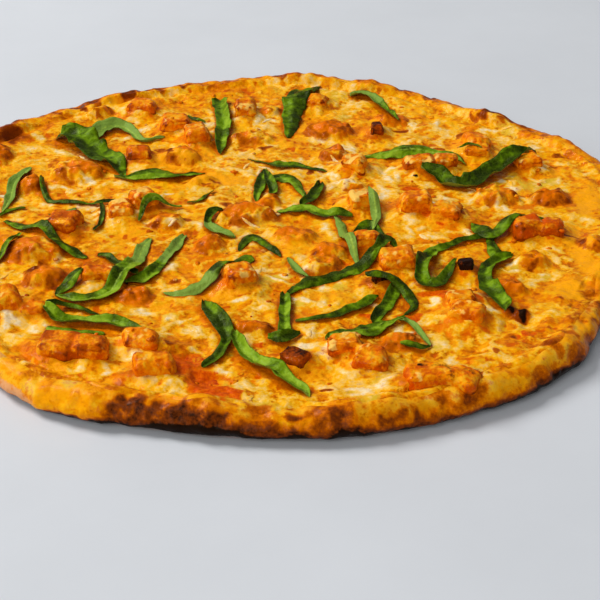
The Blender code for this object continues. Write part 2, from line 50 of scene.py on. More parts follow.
def hexColour(code):
    # sRGB to linear: c / 12.92 for dark values, else ((c + 0.055) / 1.055) to the power 2.4
    values = [int(code[i:i + 2], 16) / 255 for i in (1, 3, 5)]
    return (*[c / 12.92 if c < 0.04045 else ((c + 0.055) / 1.055) ** 2.4 for c in values], 1)


def addNode(tree, kind, inputs=None, stops=None, **settings):
    # one shader node; inputs holds numbers, colours or the outputs that are linked to its sockets
    node = tree.nodes.new("ShaderNode" + kind)
    for setting, value in settings.items():
        setattr(node, setting, value)
    for place, (position, colour) in enumerate(stops or ()):
        ramp = node.color_ramp.elements
        stop = ramp[place] if place < 2 else ramp.new(position)
        stop.position = position
        stop.color = colour
    for socket, value in (inputs or {}).items():
        if isinstance(value, bpy.types.NodeSocket):
            tree.links.new(value, node.inputs[socket])
        else:
            node.inputs[socket].default_value = value
    return node


def newMaterial(name):
    material = bpy.data.materials.new(name)
    material.use_nodes = True
    tree = material.node_tree
    tree.nodes.clear()
    return material, tree


def layer(tree, base, mask, colour, low, high, grain, ragged):
    # lays a colour over the base where the named mask passes from low to high; the grain, a noise
    # round 0.5, makes that border ragged
    value = addNode(tree, "Attribute", attribute_name=mask).outputs["Fac"]
    shift = addNode(tree, "MapRange", {0: grain, 1: noiseSpan[0], 2: noiseSpan[1],
                                       3: -ragged, 4: ragged}).outputs[0]
    edge = addNode(tree, "Math", {0: value, 1: shift}, operation="ADD").outputs[0]
    share = addNode(tree, "MapRange", {0: edge, 1: low, 2: high},
                    interpolation_type="SMOOTHSTEP").outputs[0]
    return addNode(tree, "Mix", {0: share, 6: base, 7: hexColour(colour)},
                   data_type="RGBA").outputs[2]


def mottle(tree, place, colours, sizes):
    # noise of some sizes in mm added up, read from the first colour to the last
    level = 0.0
    for size in sizes:
        noise = addNode(tree, "TexNoise", {"Vector": place, "Scale": 1 / (size * mm), "Detail": 3,
                                           "Distortion": 0.6}).outputs[0]
        level = addNode(tree, "Math", {0: noise, 1: 1 / len(sizes), 2: level},
                        operation="MULTIPLY_ADD").outputs[0]
    places = np.linspace(*mottleSpan, len(colours))
    stops = [(float(at), hexColour(colour)) for at, colour in zip(places, colours)]
    return addNode(tree, "ValToRGB", {0: level}, stops=stops).outputs[0]


def foodMaterial(name, finish):
    # a mottled ground colour, layers of colour where the piece's masks lie, and a relief of a fine
    # and a coarser grain; all sizes in mm
    material, tree = newMaterial(name)
    place = addNode(tree, "TexCoord").outputs["Object"]
    fineSize, detail, roughness = finish["fineGrain"]
    coarseSize, distortion = finish["coarseGrain"]
    fine = addNode(tree, "TexNoise", {"Vector": place, "Scale": 1 / (fineSize * mm),
                                      "Detail": detail, "Roughness": roughness}).outputs[0]
    coarse = addNode(tree, "TexNoise", {"Vector": place, "Scale": 1 / (coarseSize * mm),
                                        "Detail": 4, "Distortion": distortion}).outputs[0]
    colour = mottle(tree, place, finish["ground"], finish["patches"])
    for mask, shade, low, high, ragged in finish["layers"]:
        colour = layer(tree, colour, mask, shade, low, high, fine, ragged)
    glossy, dull = finish["roughness"]
    rough = addNode(tree, "MapRange", {0: coarse, 1: noiseSpan[0], 2: noiseSpan[1],
                                       3: glossy, 4: dull}).outputs[0]
    strength, depth = finish["fineRelief"]
    relief = addNode(tree, "Bump", {"Height": fine, "Strength": strength,
                                    "Distance": depth * mm}).outputs[0]
    strength, depth = finish["coarseRelief"]
    relief = addNode(tree, "Bump", {"Height": coarse, "Strength": strength,
                                    "Distance": depth * mm, "Normal": relief}).outputs[0]
    shader = addNode(tree, "BsdfPrincipled", {
        "Base Color": colour, "Roughness": rough, "IOR": finish["ior"],
        "Specular IOR Level": finish["specular"], "Specular Tint": hexColour(oilTint),
        "Normal": relief, "Coat Weight": finish["coat"][0], "Coat Roughness": finish["coat"][1]})
    addNode(tree, "OutputMaterial", {"Surface": shader.outputs[0]})
    return material


def smoothStep(value, low, high):
    # 0 below low, 1 above high, 3t^2 - 2t^3 between
    part = np.clip((value - low) / (high - low), 0, 1)
    return part * part * (3 - 2 * part)


def catmullRom(before, here, after, beyond, part):
    # a smooth curve from here to after, heading at each end along the chord of its neighbours
    curve = 2 * before - 5 * here + 4 * after - beyond
    twist = 3 * (here - after) + beyond - before
    return here + 0.5 * part * (after - before + part * (curve + part * twist))


def blend(table, i, j, nextI, nextJ, u, v):
    # between the four cells round a place, by its shares u and v
    low = table[i, j] * (1 - u) + table[nextI, j] * u
    high = table[i, nextJ] * (1 - u) + table[nextI, nextJ] * u
    return low * (1 - v) + high * v


def flatNoise(x, y, size, seed):
    # random numbers from -1 to 1 on a turned square lattice, joined by smooth steps
    cells = 128
    table = np.random.default_rng(seed).uniform(-1, 1, (cells, cells))
    turn = seed * 0.7
    u = (x * math.cos(turn) - y * math.sin(turn)) / size + 64.3      # the middle of the table
    v = (x * math.sin(turn) + y * math.cos(turn)) / size + 64.7
    i, j = np.floor(u).astype(int), np.floor(v).astype(int)
    u, v = u - i, v - j
    u, v = u * u * (3 - 2 * u), v * v * (3 - 2 * v)
    return blend(table, i % cells, j % cells, (i + 1) % cells, (j + 1) % cells, u, v)


def solidNoise(points, size, seed):
    # the same on a cubic lattice, for points in mm, as an average over the eight corners
    cells = 32
    table = np.random.default_rng(seed).uniform(-1, 1, (cells, cells, cells))
    place = points / np.asarray(size, float) + 16.4
    corner = np.floor(place).astype(int)
    part = place - corner
    part = part * part * (3 - 2 * part)
    total = np.zeros(len(points))
    for step in np.ndindex(2, 2, 2):
        weight = np.prod(np.where(np.array(step), part, 1 - part), axis=1)
        total += weight * table[tuple(((corner + step) % cells).T)]
    return total


def newMesh(name, points, faceSets):
    # points in mm; each face set is an array of corner numbers, one row a face
    mesh = bpy.data.meshes.new(name)
    mesh.vertices.add(len(points))
    mesh.vertices.foreach_set("co", (np.asarray(points) * mm).astype(np.float32).ravel())
    corners = np.concatenate([faces.ravel() for faces in faceSets])
    sizes = np.concatenate([np.full(len(faces), faces.shape[1]) for faces in faceSets])
    mesh.loops.add(len(corners))
    mesh.loops.foreach_set("vertex_index", corners.astype(np.int32))
    mesh.polygons.add(len(sizes))
    starts = np.concatenate(([0], np.cumsum(sizes)[:-1]))
    mesh.polygons.foreach_set("loop_start", starts.astype(np.int32))
    mesh.update(calc_edges=True)
    mesh.validate()
    shape = bmesh.new()
    shape.from_mesh(mesh)
    if shape.calc_volume(signed=True) < 0:
        bmesh.ops.reverse_faces(shape, faces=shape.faces)
        shape.to_mesh(mesh)
    shape.free()
    mesh.shade_smooth()
    return mesh


def loftFaces(index):
    # index is numbered strips x rings x ring corners: quads round each strip and a cap at each end
    here, beyond = index[:, :-1], index[:, 1:]
    quads = np.stack((here, np.roll(here, -1, 2), np.roll(beyond, -1, 2), beyond), axis=-1)
    caps = np.concatenate((index[:, 0, ::-1], index[:, -1]))
    return [quads.reshape(-1, 4), caps]


def setMask(mesh, name, values):
    mask = mesh.attributes.get(name) or mesh.attributes.new(name, "FLOAT", "POINT")
    mask.data.foreach_set("value", np.clip(values, 0, 1).astype(np.float32).ravel())


def addPiece(name, mesh, material, replaced=()):
    piece = bpy.data.objects.new(name, mesh)
    mesh.materials.clear()
    mesh.materials.append(material)
    bpy.context.scene.collection.objects.link(piece)
    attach(piece, rootBody)
    for node in replaced:
        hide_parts(node)


def curveThrough(knots, step):
    # a smooth curve through the knots, cut at even steps of its first two columns: its points and
    # its length
    knots = np.asarray(knots, float)
    knots = np.vstack((2 * knots[0] - knots[1], knots, 2 * knots[-1] - knots[-2]))
    part = np.linspace(0, 1, 24, endpoint=False)[:, None]
    fine = [catmullRom(*knots[start - 1:start + 3], part) for start in range(1, len(knots) - 2)]
    fine = np.vstack((*fine, knots[-2:-1]))
    run = np.concatenate(([0], np.cumsum(np.linalg.norm(np.diff(fine[:, :2], axis=0), axis=1))))
    places = np.linspace(0, run[-1], max(4, round(run[-1] / step)) + 1)
    return np.stack([np.interp(places, run, column) for column in fine.T], 1), run[-1]


# The round outline, the rim and the height of the layers, in mm from the middle of the pizza.

pizza = {
    "radius": 152.5,
    # radius every 15 degrees, counter-clockwise from +X
    "outline": (156, 160, 153.5, 146, 149, 149.5, 152, 148, 149, 153, 158, 157,
                156, 154, 151.5, 153, 157.5, 153.5, 154, 156, 157, 157.5, 149.5, 152),
    # distance in from the outline, height
    "rimProfile": ((0, 4.5), (1.5, 8), (6, 10.5), (10, 10), (15, 7), (21, 4.5), (30, 4.5)),
    # direction, half width in degrees, height
    "rimBubbles": ((84, 7, 4), (70, 4.5, 3.5), (42.5, 4.5, 4.5), (26, 5, 2.5), (122, 7, 3),
                   (106, 5, 1.2), (148, 6, 2.5), (176, 7, 2), (201, 6, 1.5), (248, 6, 1.5),
                   (262, 5, 1.8), (284, 6, 1.8), (300, 5, 1), (313, 5, 1.5), (328, 5, -2),
                   (342, 7, 1.5), (4, 8, 1.2)),
    "cheeseTop": 8.2,
    "sauceTop": 6.0,
}


def outlineScale(angle):
    # the outline's radius as a factor, on a smooth closed curve through its radii
    radii = np.array(pizza["outline"]) / pizza["radius"]
    place = (angle % (2 * math.pi)) / (2 * math.pi) * len(radii)
    index = np.floor(place).astype(int)
    knots = (radii[(index + step) % len(radii)] for step in (-1, 0, 1, 2))
    return catmullRom(*knots, place - index)


def rimLift(angle, inward):
    # blisters along the rim: a bell in the direction, full on the crown and none at its feet
    lift = np.zeros_like(angle)
    for direction, halfWidth, height in pizza["rimBubbles"]:
        off = (np.degrees(angle) - direction + 180) % 360 - 180
        lift += height * np.exp(-(off / halfWidth) ** 2)
    return lift * smoothStep(inward, 0, 6) * (1 - smoothStep(inward, 9.5, 14))


def rimTop(angle, inward):
    # height of the rim's upper side at a distance inwards: its profile, softened over 1 mm, and
    # the blisters
    fine = np.linspace(0, 30, 301)
    height = np.interp(fine, *np.array(pizza["rimProfile"]).T)
    reach = 24
    kernel = np.exp(-(np.arange(-reach, reach + 1) / 10.0) ** 2)
    padded = np.pad(height, reach, mode="edge")
    height = np.convolve(padded, kernel / kernel.sum(), mode="valid")
    return np.interp(inward, fine, height) + rimLift(angle, inward)


# What lies on the pizza. Covered toppings: x, y, width, depth, height. Chicken: x, y, width, depth
# of every piece that shows.
toppings = {
    "lumps": (
        (-44, 54, 20, 15, 5), (-88, 37, 24, 17, 5.5), (-96, -35, 24, 18, 5.5),
        (26, 82, 22, 17, 4.5), (-11, -4, 26, 16, 5), (-88, -56, 18, 14, 4), (-107, 25, 13, 14, 4),
        (28, 56, 14, 12, 3.5), (97, 14, 20, 14, 4), (121, 13, 17, 14, 3.5),
        (104, -43, 14, 12, 3.5), (-25, -30, 13, 12, 4), (-2, 8, 12, 10, 3), (9, -22, 18, 14, 3),
        (20, -47, 17, 13, 3.5), (23, -36, 15, 12, 3.5), (-45, -10, 15, 11, 3.5),
        (-52, -69, 14, 11, 3), (-6, -93, 14, 10, 2.5), (-11, 75, 20, 13, 3.5),
        (-31, 28, 16, 12, 2.5), (34, 26, 12, 10, 2.5), (-4, 107, 12, 10, 2.5),
        (93, -63, 12, 11, 3), (-87, 103, 14, 11, 2.5), (56, 96, 16, 12, 2.5),
        (48, -103, 14, 12, 2.5), (-128, 55, 16, 15, 4), (-133, -8, 15, 13, 3.5),
        (-126, -62, 14, 13, 3), (132, -30, 14, 12, 2.5), (90, -82, 6, 5, 2),
        (95, -84.5, 7, 6, 2.4)),
    "chicken": (
        (-40, -123, 15, 13), (-75, -110, 16, 14), (-63, -111, 13, 13), (-46, -105, 14, 10),
        (-101, -81, 17, 15), (-89, -83, 11, 9), (-67, -57, 13, 10), (-87, -15, 15, 13),
        (-64, -3, 12, 12), (-55, 5, 13, 12), (-48, 86, 16, 12), (-66, 107, 14, 12),
        (-62, 52, 12, 10), (-37, 72, 12, 14), (-15, 103, 11, 14), (20, 114, 12, 10),
        (48, 80, 8, 10), (36, 41, 13, 11), (65, 42, 15, 11), (77, 44, 12, 9), (94, 66, 12, 13),
        (93, 55, 12, 11), (115, 43, 12, 10), (61, 1, 14, 13), (74, -3, 14, 12), (106, -20, 13, 12),
        (116, -21, 11, 11), (50, -46, 16, 13), (77, -51, 9, 9), (-12, -60, 14, 13),
        (10, -117, 13, 10), (28, -109, 14, 12), (37, -118, 13, 12), (74, -87, 15, 12),
        (73, -76, 12, 11), (56.5, -129, 19, 12), (68.5, -130.5, 12, 11), (38, 6, 12, 12),
        (39, -31, 12, 10), (43, -62, 10, 9), (-129, -36, 14, 12)),
}

# Where the oven and the toppings coloured the surface: x, y, width, depth of each soft spot.
spots = {
    "pale": (
        (-98, 98, 6, 7), (-111, 77, 6, 10), (-71, 94, 9, 6), (-61, 84, 7, 7), (-71, 77, 10, 9),
        (-89, 55, 11, 11), (-99, 62, 6, 9), (-82, 27, 7, 9), (-92, 22, 13, 4), (-47, 14, 6, 6),
        (-68, -7, 3, 7), (-51, -11, 4, 4), (-115, 14, 4, 8), (-115, 0, 4, 5), (-42, -15, 4, 8),
        (-79, 5, 9, 4), (-106, -15, 5, 4), (-98, 6, 9, 5), (-3, 103, 6, 17), (-9, 113, 4, 10),
        (-33, 94, 3, 17), (-30, 77, 3, 14), (23, 134, 7, 13), (34, 99, 8, 7), (31, 65, 11, 7),
        (1, 106, 4, 10), (13, 53, 7, 4), (33, 26, 6, 7), (32, 8, 4, 5), (40, -23, 7, 5),
        (4, -9, 6, 5), (-1, 12, 6, 7), (-23, 25, 4, 6), (27, 29, 13, 14), (23, -17, 3, 12),
        (-31, -13, 6, 7), (21, 73, 9, 6), (12, 3, 13, 5), (-9, 41, 5, 5), (79, 94, 5, 7),
        (65, 88, 3, 8), (101, 82, 7, 3), (122, 63, 7, 11), (120, 43, 7, 15), (122, 31, 11, 8),
        (90, 7, 9, 7), (100, 5, 10, 5), (73, 6, 9, 3), (62, 10, 6, 3), (116, -33, 7, 4),
        (94, -48, 8, 8), (100, -60, 9, 6), (109, -55, 7, 5), (82, -20, 6, 9), (61, -16, 10, 11),
        (108, 20, 4, 10), (79, -63, 5, 8), (83, -70, 4, 10), (101, 31, 6, 4), (69, -25, 8, 5),
        (-84, -44, 3, 6), (-70, -59, 5, 6), (-45, -49, 6, 5), (-41, -46, 6, 6), (-58, -57, 4, 5),
        (-46, -79, 9, 4), (-54, -80, 9, 4), (-37, -95, 7, 6), (-31, -95, 6, 7), (-35, -86, 9, 4),
        (-85, -94, 5, 7), (-95, -89, 4, 6), (-97, -96, 4, 7), (-39, -105, 4, 8), (-46, -113, 5, 7),
        (-66, -121, 5, 4), (-58, -122, 6, 6), (-88, -122, 4, 9), (-4, -53, 6, 8), (3, -56, 6, 6),
        (-23, -64, 5, 6), (-4, -106, 4, 4), (13, -106, 11, 3), (22, -112, 6, 5), (30, -122, 4, 6),
        (-16, -121, 7, 4), (-18, -116, 7, 3), (-28, -95, 6, 7), (-25, -105, 6, 5),
        (32, -135, 10, 3),
        (40, -132, 6, 4), (20, -134, 5, 5), (39, -77, 8, 4), (23, -62, 12, 5), (13, -73, 11, 4),
        (-11, -73, 8, 4), (49, -95, 6, 6), (67, -114, 4, 9), (76, -132, 6, 6), (42, -129, 6, 5),
        (75, -67, 6, 6), (82, -81, 5, 7), (64, -74, 7, 4), (60, -88, 9, 4), (54, -98, 9, 4),
        (63, -105, 9, 5), (47, 16, 6, 8), (56, 33, 11, 5), (50, 41, 12, 4)),
    "toast": (
        (-94, 111, 9, 4), (-4, 64, 7, 6), (-20, 7, 6, 7), (-11, 1, 7, 6), (-35, -8, 6, 5),
        (21, 93, 6, 5), (18, 38, 4, 5), (26, 9, 3, 4), (35, 44, 7, 7), (96, 94, 2, 10),
        (131, 55, 6, 4), (127, 44, 5, 4), (104, 13, 4, 6), (80, -5, 4, 7), (104, -47, 4, 5),
        (88, 78, 3, 7), (124, 16, 4, 8), (83, -109, 4, 6), (89, -99, 5, 4), (112, -75, 3, 4),
        (101, -106, 5, 5), (108, -109, 3, 4), (113, -106, 4, 5), (73, -124, 3, 3),
        (94, -120, 4, 4),
        (78, -88, 3, 4), (-35, -104, 3, 5), (33, -107, 4, 8), (-37, -59, 3, 4),
        (-81, -62, 5, 4), (-95, -53, 9, 4), (-90, -47, 6, 6), (-57, -68, 3, 5), (-52, -68, 4, 5),
        (-64, -51, 6, 3), (-76, -78, 5, 3), (-95, -73, 5, 4), (123, -25, 6, 3), (109, 102, 4, 6),
        (-53, 62, 6, 5), (60, 85, 7, 6), (77, 62, 5, 5), (93, -83, 15, 10), (20, -136, 3, 3)),
    "char": (
        (90, -82, 4, 4), (95, -84, 5, 6)),
    "red": (
        (-29, -117, 13, 18), (-22, -129, 13, 14), (-16, -137, 14, 10), (-10, -139, 8, 7),
        (-4, -125, 4, 4), (90, -99, 7, 4), (96, -97, 4, 6), (110, -14, 4, 5), (51, -85, 11, 6),
        (38, -85, 9, 4), (-2, -105, 4, 5), (-60, 107, 9, 10), (70, -12, 4, 4), (63, -3, 5, 5),
        (62, -68, 12, 5), (67, -70, 8, 6), (77, -73, 9, 6), (60, -42, 8, 4), (-29, -25, 6, 5),
        (28, -44, 8, 4), (-7, -91, 6, 6), (-1, -95, 4, 6), (15, -118, 3, 3), (35, -109, 5, 7),
        (37, -118, 4, 5), (97, 71, 4, 4), (62, 21, 9, 5), (-22, 96, 5, 7)),
    "smooth": (
        (137, 11, 14, 38), (126, -34, 13, 50), (116, -65, 13, 24), (77, -105, 8, 8),
        (-71, -137, 11, 9), (-62, -138, 11, 9), (-56, -131, 8, 9), (-50, 51, 28, 13),
        (-28, 30, 36, 14), (12, 90, 19, 16), (50, 90, 10, 9)),
    # bare patches where the sauce shows
    "sauce": ((-26, -112, 15, 9), (-19, -128, 14, 7), (98, -89, 9, 6)),
    # blisters of the rim: direction, distance in from the outline, radius, darkness up to 1.4
    "rim": (
        (250.5, 0.8, 3.2, 0.95), (253.2, 0.7, 4, 1.2), (256.4, 0.6, 4.6, 1.3),
        (260, 0.5, 4.6, 1.35), (263.4, 0.4, 3.8, 1.3), (266.5, 0.3, 2.6, 0.95),
        (251.6, 5.4, 4.2, 1.0), (251.7, 1.3, 3, 0.8), (256.1, 4.8, 3.5, 0.95),
        (255.4, 1.5, 4, 1.0), (259.1, 1.5, 4.5, 1.4), (264.5, 1.8, 3.5, 1.2),
        (269.4, 5.6, 6, 0.62), (274.1, 3.9, 2.8, 1.0), (276.1, 5, 1.4, 0.7),
        (279.7, 1.3, 3.2, 1.4), (286.1, 1.9, 3.2, 0.7), (271.9, 0.7, 2, 0.7), (271, 0.3, 1.5, 1.0),
        (289.7, 0.1, 3, 0.9), (316.4, 0.5, 2.2, 0.9), (320.6, 0.2, 4, 0.4),
        (312.9, 5.8, 3.2, 0.45), (325.7, 12.6, 2.5, 0.5), (297, 4, 4, 0.55),
        (305.5, 4.5, 3.5, 0.45), (318, 8, 3, 0.5), (322.5, 6, 2.4, 0.6), (330, 8.5, 3, 0.5),
        (333, 4.5, 2.6, 0.65), (340, 7, 2.4, 0.55), (308, 1.6, 3, 0.5), (300.2, 8.1, 2.2, 0.7),
        (324.9, 1, 2.5, 0.8), (294, 3, 2.5, 0.5), (148.8, 12.5, 7, 1.15), (152, 9, 5, 0.9),
        (146, 5, 3, 0.7), (136.5, 6.5, 3, 0.95), (131.6, 7, 4, 0.95), (128.6, 6.5, 3, 0.8),
        (121.5, 6.5, 4.5, 1.3), (118, 6.5, 4.2, 1.3), (114.5, 7, 2.5, 0.8), (110, 7, 3, 0.75),
        (105, 6.5, 3, 0.6), (99, 6, 3.2, 0.75), (89.5, 6, 3.5, 0.85), (84.6, 6, 4, 0.85),
        (80, 6, 3.5, 0.8), (71.8, 6.5, 3.5, 0.75), (68.4, 6, 4, 0.85), (61.8, 8, 2.5, 0.7),
        (57.6, 7, 3.5, 0.75), (42.6, 6.5, 4.2, 1.25), (38, 6.5, 3, 1.0), (33.5, 6.5, 3, 0.7),
        (29.5, 5, 3, 0.65), (21.5, 13, 2.4, 0.8), (17.4, 19.5, 2.2, 0.6), (17.5, 6, 3, 0.6),
        (13, 6.5, 3.5, 0.6), (171, 5, 5, 0.7), (184, 7, 3, 0.5), (194, 3, 3, 0.7),
        (204, 5, 3, 0.45), (160, 4, 3, 0.6), (3, 3, 4, 0.5), (345, 2, 3, 0.7), (336, 3, 3, 0.6)),
}
# Thin charred edges, as broken lines.
burntLines = (((53.5, -126.2), (57, -125.8), (61.5, -126), (64.2, -128), (64.6, -131),
               (64.2, -134)),
              ((67, -127.2), (70.6, -128.6), (73, -131.5), (74.3, -136.5)))


def scaled(rows, across, deep):
    # the same spots with their widths and depths times a factor each
    return [(x, y, width * across, depth * deep) for x, y, width, depth, *_ in rows]


def softSpots(x, y, rows, wander=1.6, seed=5):
    # ellipses whose rims wander with noise: full in the middle, fading out over the outer half
    x = x + wander * flatNoise(x, y, 4.5, seed)
    y = y + wander * flatNoise(x, y, 4.5, seed + 1)
    mask = np.zeros_like(x)
    for centreX, centreY, width, depth in rows:
        near = (abs(x - centreX) < width) & (abs(y - centreY) < depth)
        reach = np.hypot((x[near] - centreX) / width, (y[near] - centreY) / depth) * 2
        mask[near] = np.maximum(mask[near], 1 - smoothStep(reach, 0.35, 1.3))
    return mask


def bump(x, y, lump):
    # a mound with flat sides: height times (1 - |u|^2.5 - |v|^2.5) to the power 0.6
    centreX, centreY, width, depth, height = lump
    reach = abs(2 * (x - centreX) / width) ** 2.5 + abs(2 * (y - centreY) / depth) ** 2.5
    return height * np.clip(1 - reach, 0, 1) ** 0.6


# Heights and tones are worked out as rasters over the pizza, in cells of 0.4 mm. Those that later
# pieces read are kept by name: strands, tone, shade and sheet, and rim, a table round the crust.

rasterStep = 0.4
rasterAxis = np.arange(-164, 164 + rasterStep / 2, rasterStep)
rasterX, rasterY = np.meshgrid(rasterAxis, rasterAxis, indexing="ij")
rasters = {}


def readRaster(raster, x, y):
    # bilinear reading of a raster at points in mm
    u = np.clip((x - rasterAxis[0]) / rasterStep, 0, len(rasterAxis) - 1.001)
    v = np.clip((y - rasterAxis[0]) / rasterStep, 0, len(rasterAxis) - 1.001)
    i, j = u.astype(int), v.astype(int)
    return blend(raster, i, j, i + 1, j + 1, u - i, v - j)


def blurRaster(raster, width):
    # a bell-weighted average over neighbours, first along x, then along y; width in mm
    reach = max(1, int(2.5 * width / rasterStep))
    for axis in (0, 1):
        total, weights = np.zeros_like(raster), 0
        for shift in range(-reach, reach + 1):
            weight = math.exp(-(shift * rasterStep / width) ** 2)
            total += weight * np.roll(raster, shift, axis)
            weights += weight
        raster = total / weights
    return raster


def stampRaster(raster, x, y, values):
    # raises the raster to the values at points, and one cell round them
    i = np.clip(np.rint((x - rasterAxis[0]) / rasterStep).astype(int), 1, len(rasterAxis) - 2)
    j = np.clip(np.rint((y - rasterAxis[0]) / rasterStep).astype(int), 1, len(rasterAxis) - 2)
    for stepI, stepJ in ((0, 0), (1, 0), (-1, 0), (0, 1), (0, -1)):
        np.maximum.at(raster, (i + stepI, j + stepJ), values)


def inwardOf(x, y):
    # distance in from the outline, measured on the even circle, and the direction
    angle = np.arctan2(y, x)
    return pizza["radius"] - np.hypot(x, y) / outlineScale(angle), angle


def rimStain(x, y, z):
    # darkness of the blisters at points in mm: balls round their places on the rim, a little
    # taller than wide, with soft and wandering borders
    points = np.stack((x, y, z), -1).reshape(-1, 3)
    wander = [3.6 * solidNoise(points, 5, seed) + 1.6 * solidNoise(points, 2.2, seed + 4)
              for seed in (47, 48, 49)]
    x, y, z = (value + shift.reshape(x.shape) for value, shift in zip((x, y, z), wander))
    stain = np.zeros_like(x)
    for direction, inward, radius, darkness in spots["rim"]:
        angle = np.array([math.radians(direction)])
        out = ((pizza["radius"] - inward) * outlineScale(angle))[0]
        offX, offY = x - out * math.cos(angle[0]), y - out * math.sin(angle[0])
        offZ = 0.6 * (z - rimTop(angle, np.array([inward]))[0])
        reach = np.sqrt(offX ** 2 + offY ** 2 + offZ ** 2) / radius
        stain = np.maximum(stain, darkness * (1 - smoothStep(reach, 0.3, 1.5)))
    return stain


def lineDistance(x, y, lines):
    # distance to the nearest of some broken lines, in mm
    nearest = np.full_like(x, np.inf)
    for line in lines:
        for (startX, startY), (endX, endY) in zip(line[:-1], line[1:]):
            runX, runY = endX - startX, endY - startY
            share = ((x - startX) * runX + (y - startY) * runY) / (runX ** 2 + runY ** 2)
            share = np.clip(share, 0, 1)
            off = np.hypot(x - startX - share * runX, y - startY - share * runY)
            nearest = np.minimum(nearest, off)
    return nearest


# The cheese: a melted sheet over lumps, with the strands of the grated cheese still showing. Baked
# mozzarella is melted and pooled in orange oil, so it is golden, glossy and soft at its edges,
# with cream strands that stayed pale and brown where it blistered.

cheese = {
    "quarterGrid": 304,        # squares along each side of a quarter of the sheet
    "floorStep": 16,           # squares of the sheet to one square of the floor under it
    "floorSlope": (20, 0.30),  # where the floor starts to rise to the rim, and how steeply
    "hem": (7.0, 3.0),         # distance in from the outline and how much it wanders, mm
    "film": 0.5,               # thickness where it runs out on the rim, mm
    "leastCover": 0.55,        # and over the sauce
    "strands": 3400,           # grated strands, melted into the sheet as low ridges
    "strandLength": (4, 13),
    "strandWidth": (1.3, 2.7),
    "strandHeight": 0.42,
    "raisedStrands": 50,       # those that kept their shape, as pieces of their own
    "raisedLength": (4, 9),
    "raisedHeight": (0.15, 0.3),
    # cheese drawn up round the chicken: spread as a factor of the piece, height
    "aprons": ((1.9, 1.8), (1.45, 3.4)),
    "ripple": 0.45,            # height of the slow waves of the sheet
    # wrinkles: size, seed, height on the flat, further height on the lumps
    "wrinkles": ((4.2, 33, 0.25, 0.85), (2.1, 34, 0.14, 0.40), (1.1, 38, 0.07, 0.12),
                 (9, 35, 0.30, 0)),
    "finish": {
        "ground": ("#BC5800", "#E27A00", "#F69600", "#FFB40A"),    # the oil, dark to light
        "patches": (14, 6, 2.6),           # sizes of the mottle
        # mask, colour, where the mask starts and ends to cover, how ragged that border is
        "layers": (
            ("stain", "#EC7C00", 0.1, 0.6, 0.25), ("stain", "#DE6800", 0.5, 1.2, 0.35),
            ("gilded", "#FFA80C", 0.25, 0.9, 0.3), ("fleck", "#D85C00", 0.3, 1.0, 0.25),
            ("pale", "#FFBA14", 0.12, 0.42, 0.2), ("whey", "#E8BC30", 0.3, 0.9, 0.2),
            ("pale", "#FFCE6C", 0.34, 0.74, 0.28), ("pale", "#FFE6B4", 0.66, 1.05, 0.28),
            ("red", "#EC6800", 0.15, 0.75, 0.35), ("red", "#CC4400", 0.5, 1.4, 0.5),
            ("toast", "#C46000", 0.1, 0.5, 0.16), ("toast", "#843400", 0.42, 0.95, 0.2),
            ("toast", "#301408", 0.95, 1.4, 0.2), ("char", "#1C0C06", 0.2, 0.7, 0.14)),
        "fineGrain": (1.4, 5, 0.6),        # size, detail, roughness of the noise
        "coarseGrain": (4.5, 0.6),         # size, distortion
        "fineRelief": (0.3, 0.6),          # strength, depth
        "coarseRelief": (0.5, 1.2),
        "roughness": (0.22, 0.42),         # from the oiliest to the driest place
        "ior": 1.46,
        "specular": 0.1,
        "coat": (0.04, 0.06),              # weight, roughness
    },
}


def creamField(x, y):
    # where the cheese stayed pale: broad patches of noise and the pale spots, less the oily places
    field = 0.42 + 0.30 * flatNoise(x, y, 17, 11) + 0.30 * flatNoise(x, y, 7, 12)
    field = field + 0.65 * softSpots(x, y, [(a, b, c + 3, d + 3) for a, b, c, d in spots["pale"]])
    field = field - 0.95 * softSpots(x, y, spots["smooth"], 3)
    field = field - 0.30 * softSpots(x, y, scaled(toppings["lumps"], 0.9, 0.9))
    return np.clip(field - 0.8 * softSpots(x, y, spots["red"]), 0, 1)


def strandPaths(count, seed, stations, lengths):
    # arcs scattered evenly over the pizza: the heading turns steadily along each one
    draw = np.random.default_rng(seed)
    radius = np.sqrt(draw.uniform(0, 1, count)) * (pizza["radius"] - 6)
    angle = draw.uniform(0, 2 * math.pi, count)
    heading = draw.uniform(0, 2 * math.pi, count)
    length = draw.uniform(*lengths, count)
    bend = draw.normal(0, 0.05, count)
    share = np.linspace(-0.5, 0.5, stations)
    bow = draw.normal(0, 0.25, (count, 1)) * share ** 2
    turn = heading[:, None] + (bend * length)[:, None] * share + bow
    step = length[:, None] / (stations - 1)
    x = np.cumsum(np.cos(turn) * step, 1)
    y = np.cumsum(np.sin(turn) * step, 1)
    factor = radius * outlineScale(angle)
    x += (factor * np.cos(angle))[:, None] - x.mean(1, keepdims=True)
    y += (factor * np.sin(angle))[:, None] - y.mean(1, keepdims=True)
    return x, y, turn, draw


